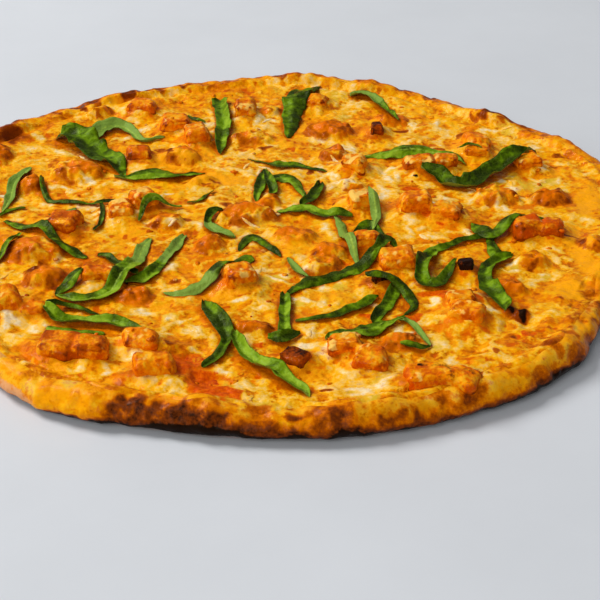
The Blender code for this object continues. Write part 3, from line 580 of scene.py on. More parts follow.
def meltedStrands():
    # ridges with a round back, laid over one another on rasters of height and tone
    count = cheese["strands"]
    x, y, turn, draw = strandPaths(count, seed=21, stations=44, lengths=cheese["strandLength"])
    width = draw.uniform(*cheese["strandWidth"], (count, 1, 1))
    height = draw.uniform(0.5, 1.2, (count, 1, 1)) * cheese["strandHeight"]
    tone = draw.uniform(0.45, 1.0, (count, 1, 1))
    across = np.linspace(-1, 1, 9)
    ends = np.sin(np.linspace(0.12, math.pi - 0.12, x.shape[1]))[None, :, None] ** 0.5
    pointX = x[..., None] - np.sin(turn)[..., None] * across * width / 2
    pointY = y[..., None] + np.cos(turn)[..., None] * across * width / 2
    rise = height * ends * (1 - across ** 2) ** 0.5
    tone = tone * ends * (1 - across ** 2) ** 0.3
    relief = np.zeros_like(rasterX)
    tones = np.zeros_like(rasterX)
    stampRaster(relief, pointX.ravel(), pointY.ravel(), rise.ravel())
    stampRaster(tones, pointX.ravel(), pointY.ravel(), np.broadcast_to(tone, rise.shape).ravel())
    return blurRaster(relief, 0.55), blurRaster(tones, 0.6)


def readRim(angle, inward):
    # height of the built crust's upper side, from the table that the crust leaves behind
    table = rasters["rim"]
    u = (angle % (2 * math.pi)) / (2 * math.pi) * len(table)
    v = np.clip(inward / crust["tableStep"], 0, table.shape[1] - 1.001)
    i, j = np.floor(u).astype(int), np.floor(v).astype(int)
    return blend(table, i % len(table), j, (i + 1) % len(table), j + 1, u - i, v - j)


def sheetHeight():
    # the layers' heights added up on the raster: lumps, cheese drawn up round the chicken, ripples
    # and wrinkles; a soft maximum with the crust's own height then lays the edge on the rim
    x, y = rasterX, rasterY
    relief = np.zeros_like(x)
    wanderX = x + 1.2 * flatNoise(x, y, 6, 31)
    wanderY = y + 1.2 * flatNoise(x, y, 6, 32)
    for lump in toppings["lumps"]:
        relief = np.maximum(relief, bump(wanderX, wanderY, lump))
    knobs = smoothStep(relief, 0.3, 2.5)
    for centreX, centreY, width, depth in toppings["chicken"]:
        for spread, height in cheese["aprons"]:
            apron = (centreX, centreY, width * spread, depth * spread, height)
            relief = np.maximum(relief, bump(wanderX, wanderY, apron))
    waveX = np.sin(0.21 * x + 1.3 * np.sin(0.09 * y))
    waveY = np.sin(0.19 * y + 1.1 * np.sin(0.11 * x))
    relief = blurRaster(relief, 1.0) + cheese["ripple"] * (waveX * waveY)
    for size, seed, height, further in cheese["wrinkles"]:
        relief += (height + further * knobs) * flatNoise(x, y, size, seed)
    for patch in scaled(spots["sauce"], 1.15, 1.25):
        relief -= 1.5 * softSpots(x, y, [patch])
    inward, angle = inwardOf(x, y)
    fade = smoothStep(inward, 5, 14) * (1 - 0.75 * softSpots(x, y, spots["smooth"], 3))
    relief += 1.2 * np.exp(-((inward - 17) / 5) ** 2)
    sheet = np.maximum(pizza["cheeseTop"] + relief, pizza["sauceTop"] + cheese["leastCover"])
    hem = cheese["hem"][0] + cheese["hem"][1] * flatNoise(x, y, 13, 36)
    over = smoothStep(inward, hem, hem + 3.5)
    film = (cheese["film"] + 0.2 * flatNoise(x, y, 5, 37)) * over - 0.3 * (1 - over)
    rim = readRim(angle, inward) + film
    sharp = 1.1
    sheet = np.log(np.exp(sharp * (sheet - 8)) + np.exp(sharp * (rim - 8))) / sharp + 8
    onRim = np.minimum(sheet, rim + 0.35 * smoothStep(inward, 11, 13))
    sheet = np.where(inward < 13, onRim, sheet)
    return sheet + rasters["strands"] * (0.15 + 0.85 * fade)


def leafShade():
    # where the basil lies and just beside it, on the raster: painted shade of the leaves, and in
    # part the oil that their juice darkens there
    shade = np.zeros_like(rasterX)
    for tangle in basil["tangles"]:
        for _, _, _, route in tangle:
            path, _ = curveThrough(route, rasterStep)
            slope = np.gradient(path[:, :2], axis=0)
            slope /= np.linalg.norm(slope, axis=1)[:, None]
            reach = path[:, 2:] / 2 * np.linspace(-1, 1, 25)
            x, y = path[:, :1] - slope[:, 1:] * reach, path[:, 1:2] + slope[:, :1] * reach
            stampRaster(shade, x.ravel(), y.ravel(), np.ones(x.size))
    return np.clip(1.7 * blurRaster(shade, 1.3), 0, 1)


def cheeseMasks(top, inward):
    # how pale, oily, browned or red the surface is at points in mm; the rings round the chicken
    # and the lumps' feet are painted shade, as is the shade beside the basil
    x, y, _ = top.transpose(2, 0, 1)
    lumps, dice = toppings["lumps"], toppings["chicken"]
    oily = softSpots(x, y, spots["smooth"], 3)
    tone = readRaster(rasters["tone"], x, y) * (1 - 0.8 * oily)
    cream = creamField(x, y)
    near = smoothStep(inward, 3, 13)
    diced = softSpots(x, y, scaled(dice, 1.3, 1.3))
    # painted shade round the chicken pieces: a wide ring that deepens the orange stain
    chickenRingShade = softSpots(x, y, scaled(dice, 1.7, 1.7))
    knobs = softSpots(x, y, scaled(lumps, 1.05, 1.05))
    foot = knobs * (1 - knobs) * 4
    broad = flatNoise(x, y, 15, 49) + 0.5 * flatNoise(x, y, 7, 50)
    grit = flatNoise(x, y, 2.0, 45) + 0.6 * flatNoise(x, y, 4.5, 46)
    # painted shade beside the basil: it deepens the stain and the toast below and takes off
    # gilding
    shade = readRaster(rasters["shade"], x, y)
    stain = 0.8 * knobs + 0.6 * chickenRingShade + 0.45 * flatNoise(x, y, 8, 42) + 0.4 * broad
    stain = stain - 0.35 * tone * cream + 0.2 * flatNoise(x, y, 2.4, 43) + 0.5 * shade - 0.5 * oily
    golden = smoothStep(flatNoise(x, y, 11, 60), 0.1, 0.7) * (1 - 0.7 * knobs)
    fleck = smoothStep(grit, 0.35, 1.0) * (1 - 0.8 * tone * cream)
    char = softSpots(x, y, spots["char"], 2.6)
    line = 1 - smoothStep(lineDistance(x, y, burntLines), 0.4, 1.5)
    toast = 0.9 * softSpots(x, y, spots["toast"], 2.4) - 0.3 * tone
    toast = np.maximum(np.maximum(toast, rimStain(x, y, top[..., 2])), 1.6 * char)
    toast = toast + 0.5 * smoothStep(grit + 0.4 * broad, 0.4, 1.2) * (0.35 + knobs) + 0.35 * line
    # painted shade at the feet of the lumps and the chicken pieces, laid on as brown toast
    footShade = foot + 2 * diced * (1 - diced)
    toast = toast + 0.6 * footShade * smoothStep(flatNoise(x, y, 5, 59), -0.3, 0.4) + 0.4 * shade
    pale = (0.16 + 0.98 * tone) * (cream + 0.16 * flatNoise(x, y, 1.6, 41))
    return {
        "pale": pale * (0.25 + 0.75 * near),
        "whey": smoothStep(flatNoise(x, y, 10, 44), 0.15, 0.8) * cream,
        "stain": stain,
        "gilded": oily + 0.7 * golden - 0.5 * shade + 0.5 * (1 - near),
        "fleck": fleck * (0.4 + 0.6 * near) * (1 - 0.5 * oily),
        "toast": toast,
        "char": np.maximum(0.75 * char + 0.1 * grit * (char > 0), 0.9 * line),
        "red": 1.25 * softSpots(x, y, scaled(spots["red"], 1.15, 1.15), 3) - 0.3 * tone,
    }


def woundGrid(count):
    # a square grid wound into a disc, ring by ring, so that its cells stay even: x and y up to 1
    side = np.linspace(-1, 1, count)
    a, b = np.meshgrid(side, side, indexing="ij")
    wide = abs(a) > abs(b)
    reach = np.where(wide, a, b)
    safe = np.where(reach == 0, 1, reach)
    angle = np.where(wide, math.pi / 4 * b / safe, math.pi / 2 - math.pi / 4 * a / safe)
    return reach * np.cos(angle), reach * np.sin(angle)


def gridFaces(index):
    # one face for each square of a grid of corner numbers
    return np.stack((index[:-1, :-1], index[1:, :-1], index[1:, 1:], index[:-1, 1:]),
                    -1).reshape(-1, 4)


def gridBorder(index):
    # the corner numbers once round a grid
    return np.concatenate((index[:-1, 0], index[-1, :-1], index[:0:-1, -1], index[0, :0:-1]))


def wallFaces(border, lowBorder, step):
    # one face from each edge of the coarse border below to the fine edges above it
    chains = np.stack([border[shift::step] for shift in range(step)], -1)
    chains = np.concatenate((chains, np.roll(border, -step)[::step][:, None]), 1)
    return np.concatenate((chains[:, ::-1], lowBorder[:, None],
                           np.roll(lowBorder, -1)[:, None]), 1)


def lowestNear(height):
    # the lowest place of the sheet near each corner, by minima over ever farther neighbours
    for axis in (0, 1):
        for shift in (1, 1, 2, 4, 8):
            beside = np.minimum(np.roll(height, shift, axis), np.roll(height, -shift, axis))
            height = np.minimum(height, beside)
    return height


def buildCheese(material):
    # the sheet is cut into four quarters that share its own normals; each is closed by walls and
    # by a coarse floor, kept under the lowest place of the sheet near it
    half, step = cheese["quarterGrid"], cheese["floorStep"]
    x, y = woundGrid(2 * half + 1)
    direction = np.arctan2(y, x)
    rim = 140 * np.cos(direction), 140 * np.sin(direction)     # where the hem's noise is read
    hem = cheese["hem"][0] - 0.6 + cheese["hem"][1] * flatNoise(*rim, 13, 36)
    factor = (pizza["radius"] - hem) * outlineScale(direction)
    x, y = x * factor, y * factor
    top = np.stack((x, y, readRaster(rasters["sheet"], x, y)), -1)
    normals = np.cross(np.gradient(top, axis=0), np.gradient(top, axis=1))
    normals /= np.linalg.norm(normals, axis=-1, keepdims=True)
    inward = pizza["radius"] - np.hypot(x, y) / outlineScale(direction)
    start, slope = cheese["floorSlope"]
    under = pizza["sauceTop"] + 0.35 + np.maximum(start - inward, 0) * slope
    under = np.minimum(under, lowestNear(top[..., 2]) - 0.3)
    masks = cheeseMasks(top, inward)
    corners = ((0, 0), (half, 0), (half, half), (0, half))
    for number, (startI, startJ) in enumerate(corners, start=1):
        part = np.s_[startI:startI + half + 1, startJ:startJ + half + 1]
        surface = top[part].reshape(-1, 3)
        index = np.arange((half + 1) ** 2).reshape(half + 1, half + 1)
        coarse = index[::step, ::step]
        lower = len(surface) + np.arange(coarse.size).reshape(coarse.shape)
        bottom = surface[coarse.ravel()].copy()
        bottom[:, 2] = under[part][::step, ::step].ravel()
        walls = wallFaces(gridBorder(index), gridBorder(lower), step)
        name = f"cheeseQuarter{number}"
        mesh = newMesh(name, np.vstack((surface, bottom)),
                       [gridFaces(index), gridFaces(lower.T), walls])
        down = np.tile((0.0, 0.0, -1.0), (len(bottom), 1))
        smooth = np.concatenate((normals[part].reshape(-1, 3), down))
        mesh.normals_split_custom_set_from_vertices(smooth.tolist())
        for mask, values in masks.items():
            setMask(mesh, mask, np.concatenate((values[part].ravel(), np.zeros(len(bottom)))))
        addPiece(name, mesh, material, ["cheese"])


# The crust: one closed shape carried round the outline, with blisters, wrinkles and char. Baked
# dough is golden and glossy with oil above, dry tan bread where it is bare, browned in soft
# blisters and burnt black along its lower edge.

crust = {
    "directions": 900,         # profiles round the pizza
    # distance in from the outline, height: over the rim, down its side and under it
    "profile": ((30, 4.6), (21, 4.6), (18, 5.6), (15, 7), (12.5, 8.7), (10, 10), (8, 10.45),
                (6, 10.5), (3.5, 9.8), (1.5, 8), (0.3, 6.2), (0, 4.5), (0.8, 2.6), (2.5, 1.4),
                (5, 0.5), (8, 0)),
    "step": 0.7,               # between the points of the profile, mm
    "baseRings": 33,           # rings of points under the base
    "smallBlisters": 260,
    "blisterHeight": 0.27,     # as a share of its radius
    "dimple": 0.22,            # depth of the hollows under the base, mm
    "tableStep": 0.5,          # of the table of heights that the cheese is laid on
    # unevenness: size, seed, height
    "swell": ((9, 51, 0.65), (4.4, 52, 0.55), (2.1, 53, 0.28)),
    # direction, height up to which the edge is burnt
    "burntEdge": (
        (0, 3), (30, 3.2), (45, 4.2), (60, 2.6), (105, 2.6), (120, 4), (150, 4.4), (195, 3),
        (215, 1.6), (240, 2), (246, 2.6), (250, 3.4), (256, 4), (259, 5.2), (262, 6.5), (266, 5.6),
        (269, 4.2), (277, 3.4), (279.7, 5.6), (282, 4.2), (285, 3.4), (298, 3.2), (303, 4.2),
        (308, 5.2), (314, 5.2), (321, 4), (330, 3), (360, 3)),
    # direction, how brown the side is
    "browning": (
        (0, 0.45), (40, 0.6), (110, 0.5), (150, 0.8), (190, 0.6), (205, 0.15), (238, 0.1),
        (247.5, 0.25), (252, 0.85), (262, 0.95), (268, 0.9), (290, 0.85), (300, 0.7), (312, 0.55),
        (330, 0.6), (345, 0.5), (360, 0.45)),
    # direction, how far pale cheese ran out on the crown
    "creamed": (
        (0, 0.5), (40, 0.5), (70, 0.6), (90, 1), (112, 0.9), (140, 0.5), (190, 0.6), (215, 0.9),
        (243, 1), (250, 0.7), (275, 0.6), (296, 1), (320, 0.95), (345, 0.7), (360, 0.5)),
    # direction, how much oily golden cheese ran down the side
    "gilded": (
        (0, 0.5), (60, 0.5), (90, 0.8), (180, 0.5), (200, 1), (244, 1.1), (250, 0.5), (280, 0.6),
        (290, 0.9), (318, 1.1), (345, 0.9), (360, 0.5)),
    # direction, how much bare bread shows on the side
    "bare": (
        (0, 0.2), (120, 0.3), (180, 0.5), (203, 1.0), (218, 1.2), (236, 1.2), (240, 0.2),
        (330, 0.1), (360, 0.2)),
    "finish": {
        "ground": ("#CC6A00", "#E88400", "#F89C00", "#FFB610"),
        "patches": (12, 5, 2.2),
        "layers": (
            ("stain", "#E47000", 0.1, 0.7, 0.25), ("gilded", "#FFA608", 0.3, 1.0, 0.3),
            ("fleck", "#D86000", 0.3, 1.0, 0.25), ("pale", "#FFC028", 0.15, 0.5, 0.2),
            ("whey", "#F4C23C", 0.4, 1.1, 0.2), ("pale", "#FFD98C", 0.45, 0.85, 0.25),
            ("bare", "#E9A468", 0.3, 0.7, 0.25), ("toast", "#E07800", 0.06, 0.36, 0.16),
            ("toast", "#B45400", 0.28, 0.62, 0.2), ("toast", "#7C360C", 0.52, 0.9, 0.22),
            ("toast", "#2E140A", 0.85, 1.2, 0.2), ("char", "#160C08", 0.3, 0.85, 0.2)),
        "fineGrain": (1.7, 4, 0.65),
        "coarseGrain": (4.5, 0.5),
        "fineRelief": (0.24, 0.7),
        "coarseRelief": (0.5, 1.2),
        "roughness": (0.26, 0.46),
        "ior": 1.45,
        "specular": 0.11,
        "coat": (0.04, 0.1),
    },
}


def aroundRim(knots, turn):
    # values between the knots of a table of directions in degrees
    return np.interp(np.degrees(turn) % 360, *np.array(knots).T)


def crustMasks(points, inward, cell, turn, raised, flat):
    # how the dough is browned, burnt, bare or covered: browning and burnt edge follow the tables
    # round the rim, and the cheese's own masks run out over the crown; flat marks the underside
    height = points[..., 2]
    patchy, speckle, blotches = (solidNoise(cell, size, seed).reshape(turn.shape)
                                 for size, seed in ((7, 56), (2.6, 57), (5, 64)))
    below = (height < 1.0) & flat
    outside = inward < 12
    browning = aroundRim(crust["browning"], turn)
    burnt = aroundRim(crust["burntEdge"], turn)
    side = (1 - smoothStep(height, 3, 10.5)) * outside
    rough = 0.42 * patchy + 0.3 * speckle
    blotchy = smoothStep(blotches, 0.25, 0.6) * (0.3 + browning)
    toast = browning * outside * (0.05 + 0.62 * side + rough) + 0.1 * raised
    toast = toast + 0.45 * blotchy * outside
    backEdge = np.exp(-((inward - 4.5) / 2.2) ** 2) * smoothStep(np.sin(turn), 0.1, 0.5)
    blisters = rimStain(*points.transpose(2, 0, 1)) + 0.55 * rough
    toast = np.maximum(toast + backEdge * (0.35 + rough), blisters)
    edge = height + 1.3 * patchy + 0.9 * speckle
    halo = 1.6 + 3.4 * browning ** 2
    toast = np.maximum(toast, 1.15 * (1 - smoothStep(edge, burnt, burnt + halo)) * outside)
    leopard = smoothStep(flatNoise(points[..., 0], points[..., 1], 8, 58), 0.1, 0.7)
    bare = aroundRim(crust["bare"], turn) * (1 - smoothStep(height + patchy, 5.5, 8.5)) * outside
    crown = smoothStep(height, 4.5, 8.5)
    covering = cheeseMasks(points, np.maximum(inward, 9))
    creamed = aroundRim(crust["creamed"], turn) * (0.42 + 0.9 * patchy + 0.5 * speckle)
    gilded = aroundRim(crust["gilded"], turn) * (0.8 + 0.5 * patchy) * smoothStep(height, 2, 5)
    above = {
        "pale": crown * (covering["pale"] * 0.7 + 0.5 * creamed),
        "stain": covering["stain"] * crown,
        "fleck": covering["fleck"] * smoothStep(height, 3, 8),
        "toast": toast,
        "char": (1 - smoothStep(edge, burnt - 0.6, burnt + 0.6)) * outside,
        "bare": bare,
        "gilded": gilded,
        "whey": crown * creamed * smoothStep(patchy, 0, 0.6),
    }
    under = {
        "toast": 0.05 + 0.85 * leopard + 0.25 * patchy + 0.15 * speckle,
        "char": 0.5 * leopard * smoothStep(speckle, -0.4, 0.4),
        "bare": 1,
    }
    return {mask: np.where(below, under.get(mask, 0), values) for mask, values in above.items()}


def rimBlisters(angle, run, profile):
    # round bells on the rim, the highest one at each place: those of the dark spots and small ones
    # at random; angle is the direction round the pizza, and run the way along the profile in mm
    outermost = int(np.argmin(profile[:, 0]))
    places = np.interp([row[1] for row in spots["rim"]], profile[outermost::-1, 0],
                       run[outermost::-1])
    blisters = [(math.radians(row[0]), place, row[2]) for row, place in zip(spots["rim"], places)]
    draw = np.random.default_rng(54)
    count = crust["smallBlisters"]
    blisters += zip(draw.uniform(0, 2 * math.pi, count), draw.uniform(6, 34, count),
                    draw.uniform(1.2, 3.8, count))
    raised = np.zeros((len(angle), len(run)))
    for spotTurn, spotRun, radius in blisters:
        off = ((angle - spotTurn + math.pi) % (2 * math.pi) - math.pi) * pizza["radius"]
        patch = np.ix_(abs(off) < 2.5 * radius, abs(run - spotRun) < 2.5 * radius)
        reach = np.hypot(off[patch[0]], run[patch[1]] - spotRun) / radius
        bell = radius * crust["blisterHeight"] * np.exp(-reach ** 2 * 1.6)
        raised[patch] = np.maximum(raised[patch], bell)
    return raised


def buildCrust(material):
    # the profile is carried round, pushed out along its own normals by noise and blisters, and
    # spread to the outline; heights of its upper side go to a table for the cheese
    profile, _ = curveThrough(crust["profile"], crust["step"])
    sideRows = len(profile)
    base = np.linspace(profile[-1, 0] + 4, pizza["radius"] - 5, crust["baseRings"])
    profile = np.vstack((profile, np.stack((base, np.zeros_like(base)), 1)))
    angle = np.arange(crust["directions"]) / crust["directions"] * 2 * math.pi
    turn = np.broadcast_to(angle[:, None], (len(angle), len(profile)))
    inward = np.broadcast_to(profile[:, 0], turn.shape)
    height = np.broadcast_to(profile[:, 1], turn.shape)
    slope = np.gradient(profile, axis=0)
    slope /= np.linalg.norm(slope, axis=1)[:, None]
    outward, upward = -slope[:, 1], slope[:, 0]
    out = pizza["radius"] - inward
    cell = np.stack((np.cos(turn) * out, np.sin(turn) * out, height), -1).reshape(-1, 3)
    shown = smoothStep(height, 0.6, 3.5)
    swell = sum(rise * solidNoise(cell, size, seed) for size, seed, rise in crust["swell"])
    swell = swell.reshape(turn.shape) * (0.2 + 0.8 * shown)
    run = np.concatenate(([0], np.cumsum(np.hypot(*np.diff(profile, axis=0).T))))
    raised = rimBlisters(angle, run, profile)
    swell = swell + raised * shown
    lift = rimLift(turn, inward) * (height > 4.7)
    inward = inward + outward * swell
    height = np.maximum(height + lift + upward * swell, 0)
    hollow = smoothStep(flatNoise(cell[:, 0], cell[:, 1], 11, 55).reshape(turn.shape), -0.2, 0.8)
    hollow = crust["dimple"] * hollow * smoothStep(inward, 7, 14)
    height = np.where(profile[:, 1] < 0.3, hollow, height)
    scale = outlineScale(turn) * (pizza["radius"] - inward)
    points = np.stack((np.cos(turn) * scale, np.sin(turn) * scale, height), -1)
    index = np.arange(turn.size).reshape(turn.shape)
    mesh = newMesh("crust", points.reshape(-1, 3), loftFaces(index.T[None]))
    flat = np.arange(len(profile)) >= sideRows - 6
    for mask, values in crustMasks(points, inward, cell, turn, raised, flat).items():
        setMask(mesh, mask, values)
    addPiece("crust", mesh, material, ["crust"])
    outermost = int(np.argmin(profile[:, 0]))
    inside, above = inward[:, outermost::-1], height[:, outermost::-1]
    steps = np.arange(0, 28, crust["tableStep"])
    return np.array([np.interp(steps, *column) for column in zip(inside, above)])


# The sauce: lumpy under the cheese, bulging up where the cheese left it bare. Tomato and cream are
# cooked down, so it is a smooth orange red with a wet shine and small darker bits of tomato.

sauce = {
    "rings": 90,
    "turns": 300,              # points in each ring
    "margin": 22.5,            # distance in from the outline
    "underside": 4.85,         # height of its flat lower face
    "ground": ("#B83400", "#D24A00", "#E06400", "#EE8A08"),
    "patches": (6, 3, 1.5),
    "grain": 1.1,
}


def buildSauce(material):
    # rings of points out to the margin, and the same rings back along the flat underside
    share = np.linspace(0.012, 1, sauce["rings"])
    angle = np.arange(sauce["turns"]) / sauce["turns"] * 2 * math.pi
    reach = share[:, None] * (pizza["radius"] - sauce["margin"]) * outlineScale(angle)
    x, y = reach * np.cos(angle), reach * np.sin(angle)
    z = pizza["sauceTop"] + 0.12 * flatNoise(x, y, 5, 61)
    for patch in scaled(spots["sauce"], 1.2, 1.4):
        swell = 1.1 + 0.35 * flatNoise(x, y, 4, 62) + 0.15 * flatNoise(x, y, 1.8, 63)
        z = z + softSpots(x, y, [patch]) * swell
    top = np.stack((x, y, z), -1)
    below = top * (1, 1, 0) + (0, 0, sauce["underside"])
    points = np.concatenate((top, below[::-1]))
    index = np.arange(points.shape[0] * sauce["turns"]).reshape(1, -1, sauce["turns"])
    mesh = newMesh("vodkaSauce", points.reshape(-1, 3), loftFaces(index))
    addPiece("vodkaSauce", mesh, material, ["vodka_sauce"])


def tomatoCreamSauceMaterial():
    material, tree = newMaterial("tomatoCreamSauce")
    place = addNode(tree, "TexCoord").outputs["Object"]
    fine = addNode(tree, "TexNoise", {"Vector": place, "Scale": 1 / (sauce["grain"] * mm),
                                      "Detail": 3}).outputs[0]
    colour = mottle(tree, place, sauce["ground"], sauce["patches"])
    relief = addNode(tree, "Bump", {"Height": fine, "Strength": 0.4,
                                    "Distance": 0.7 * mm}).outputs[0]
    shader = addNode(tree, "BsdfPrincipled", {
        "Base Color": colour, "Roughness": 0.38, "IOR": 1.4, "Specular IOR Level": 0.25,
        "Specular Tint": hexColour(oilTint), "Normal": relief,
        "Coat Weight": 0.08, "Coat Roughness": 0.08})
    addNode(tree, "OutputMaterial", {"Surface": shader.outputs[0]})
    return material


# The chicken: the diced solids, remeshed fine, with soft edges and the grain of the meat. Diced
# roast chicken is glazed with sauce and oil, so its flats are bright orange and shiny and its cut
# edges brown and matt, with a veil of melted cheese on some tops.

chicken = {
    "pieces": 31,
    "voxel": 0.5,              # cells of the remesh, mm
    # by the number of the piece: how brown it is, how much sauce and how much cheese lie on it
    "browning": {14: 1.0, 22: 1.25, 24: 1.05, 30: 1.1, 2: 0.35, 6: 0.4, 16: 0.3, 20: 0.3, 10: 0.3,
                 25: 0.2},
    "sauced": {20: 0.8, 25: 0.4, 27: 0.4, 9: 0.4},
    "cheesed": {14: 0, 22: 0, 24: 0, 30: 0, 2: 0.2, 5: 0.7, 7: 0.5, 11: 0.4, 12: 0.4, 15: 0.6,
                16: 0.7, 19: 0.4, 21: 0.5, 23: 0.6, 25: 0.6, 28: 0.9, 18: 0.3, 26: 0.4},
    "grain": (1.0, 4.2),       # across and along the fibres, mm
    "finish": {
        "ground": ("#D05800", "#EA7600", "#FA9000", "#FFB01A"),
        "patches": (9, 4, 2),
        "layers": (
            ("sauce", "#D44E00", 0.35, 1.1, 0.25), ("brown", "#B84C00", 0.25, 0.7, 0.2),
            ("brown", "#702A04", 0.7, 1.15, 0.2), ("cheese", "#FFC85C", 0.2, 1.0, 0.3),
            ("burnt", "#1F0E0A", 0.25, 0.8, 0.2)),
        "fineGrain": (1.2, 5, 0.6),
        "coarseGrain": (3.8, 0.5),
        "fineRelief": (0.4, 0.7),
        "coarseRelief": (0.5, 1.2),
        "roughness": (0.26, 0.45),
        "ior": 1.45,
        "specular": 0.11,
        "coat": (0.07, 0.08),
    },
}


def pieceMesh(node):
    # a copy of the solid with its corners merged, remeshed in even cells and softened
    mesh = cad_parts[node].data.copy()
    shape = bmesh.new()
    shape.from_mesh(mesh)
    bmesh.ops.remove_doubles(shape, verts=shape.verts, dist=1e-5)
    shape.to_mesh(mesh)
    shape.free()
    holder = bpy.data.objects.new("holder", mesh)
    bpy.context.scene.collection.objects.link(holder)
    remesh = holder.modifiers.new("cells", "REMESH")
    remesh.mode = "VOXEL"
    remesh.voxel_size = chicken["voxel"] * mm
    soften = holder.modifiers.new("soften", "SMOOTH")
    soften.factor = 0.5
    soften.iterations = 2
    depsgraph = bpy.context.evaluated_depsgraph_get()
    evaluated = holder.evaluated_get(depsgraph)
    finished = bpy.data.meshes.new_from_object(evaluated, depsgraph=depsgraph)
    bpy.data.objects.remove(holder, do_unlink=True)
    return finished


def meshArrays(mesh):
    points = np.empty(len(mesh.vertices) * 3)
    mesh.vertices.foreach_get("co", points)
    normals = np.empty(len(mesh.vertices) * 3)
    mesh.vertices.foreach_get("normal", normals)
    edges = np.empty(len(mesh.edges) * 2, dtype=np.int64)
    mesh.edges.foreach_get("vertices", edges)
    return points.reshape(-1, 3) / mm, normals.reshape(-1, 3), edges.reshape(-1, 2)


def neighbourMean(values, edges, rounds):
    # each round replaces a value by the mean over the corners that share an edge with it
    count = np.bincount(edges.ravel(), minlength=len(values))[:, None]
    for _ in range(rounds):
        total = np.zeros_like(values)
        np.add.at(total, edges[:, 0], values[edges[:, 1]])
        np.add.at(total, edges[:, 1], values[edges[:, 0]])
        values = total / np.maximum(count, 1)
    return values


def chickenMasks(number, points, normals, ridge, lumps, grain):
    # brown on edges, burnt where the piece or a line is, and a veil of cheese on top; the edges
    # are where a corner stands out from its neighbours' mean; brown on the low sides and in
    # hollows, and more sauce colour on the sides, are painted shade
    x, y, z = points.T
    browning = chicken["browning"].get(number, 0.0)
    patchy = solidNoise(points, 3.4, 73 + number)
    side = 1 - smoothStep(normals[:, 2], 0.1, 0.8)
    low = 1 - smoothStep(z, 9.0, 12.5)
    # painted shade in the hollows of the piece
    hollowShade = smoothStep(-lumps, 0.1, 0.7)
    edging = smoothStep(ridge, 0.1, 0.36) * (0.75 + 0.8 * patchy)
    # the low sides and the hollows are browned as painted shade
    brown = browning + 0.8 * edging + 0.3 * patchy + 0.55 * low * side + 0.3 * hollowShade + 0.12 * grain
    line = 1 - smoothStep(lineDistance(x, y, burntLines), 0.5, 1.5)
    burnt = (browning - 0.75) * 1.6 + 0.5 * patchy * (browning > 0.75)
    cream = chicken["cheesed"].get(number, 0.2)
    veil = 0.5 + 0.6 * flatNoise(x, y, 3.0, 74 + number)
    veil = veil + 0.35 * flatNoise(x, y, 1.3, 75)
    # the sides take more of the darker sauce colour, as painted shade: they are lit less than the
    # tops
    sauced = chicken["sauced"].get(number, 0.05) + 0.35 * side
    return {
        "brown": brown,
        "burnt": np.maximum(burnt, line * (0.56 + 0.5 * patchy)),
        "cheese": smoothStep(veil, 1 - cream, 1.6 - cream) * smoothStep(normals[:, 2], 0.1, 0.7),
        "sauce": sauced + 0.5 * flatNoise(x, y, 5, 76) - 0.1,
    }


def buildChicken(material, ground):
    # every piece is pushed in and out along its normals: uneven faces, lumps and the meat's grain
    across, along = chicken["grain"]
    for number in range(1, chicken["pieces"] + 1):
        node = f"chicken_{number:02d}"
        mesh = pieceMesh(node)
        points, normals, edges = meshArrays(mesh)
        soft = neighbourMean(points, edges, 9)
        ridge = ((points - soft) * normals).sum(1)
        points = 0.6 * points + 0.4 * soft
        cell = (across, along, across) if number % 2 else (along, across, across)
        grain = solidNoise(points, cell, 70 + number)
        lumps = 0.75 * solidNoise(points, 7, 71 + number) + 0.42 * solidNoise(points, 3.2, 72)
        swell = lumps + 0.18 * solidNoise(points, 1.5, 77) + 0.16 * grain - 0.05
        shrunk = chicken["browning"].get(number, 0) > 0.9
        points += normals * (swell - 1.3 * shrunk)[:, None]
        mesh.vertices.foreach_set("co", (points * mm).astype(np.float32).ravel())
        mesh.update()
        mesh.shade_smooth()
        for mask, values in chickenMasks(number, points, normals, ridge, lumps, grain).items():
            setMask(mesh, mask, values)
        addPiece(f"chicken{number:02d}", mesh, material, [node])
        stampRaster(ground, *points.T)
    return ground


# The strands that kept their shape: thin flattened tubes that follow what they melted on.

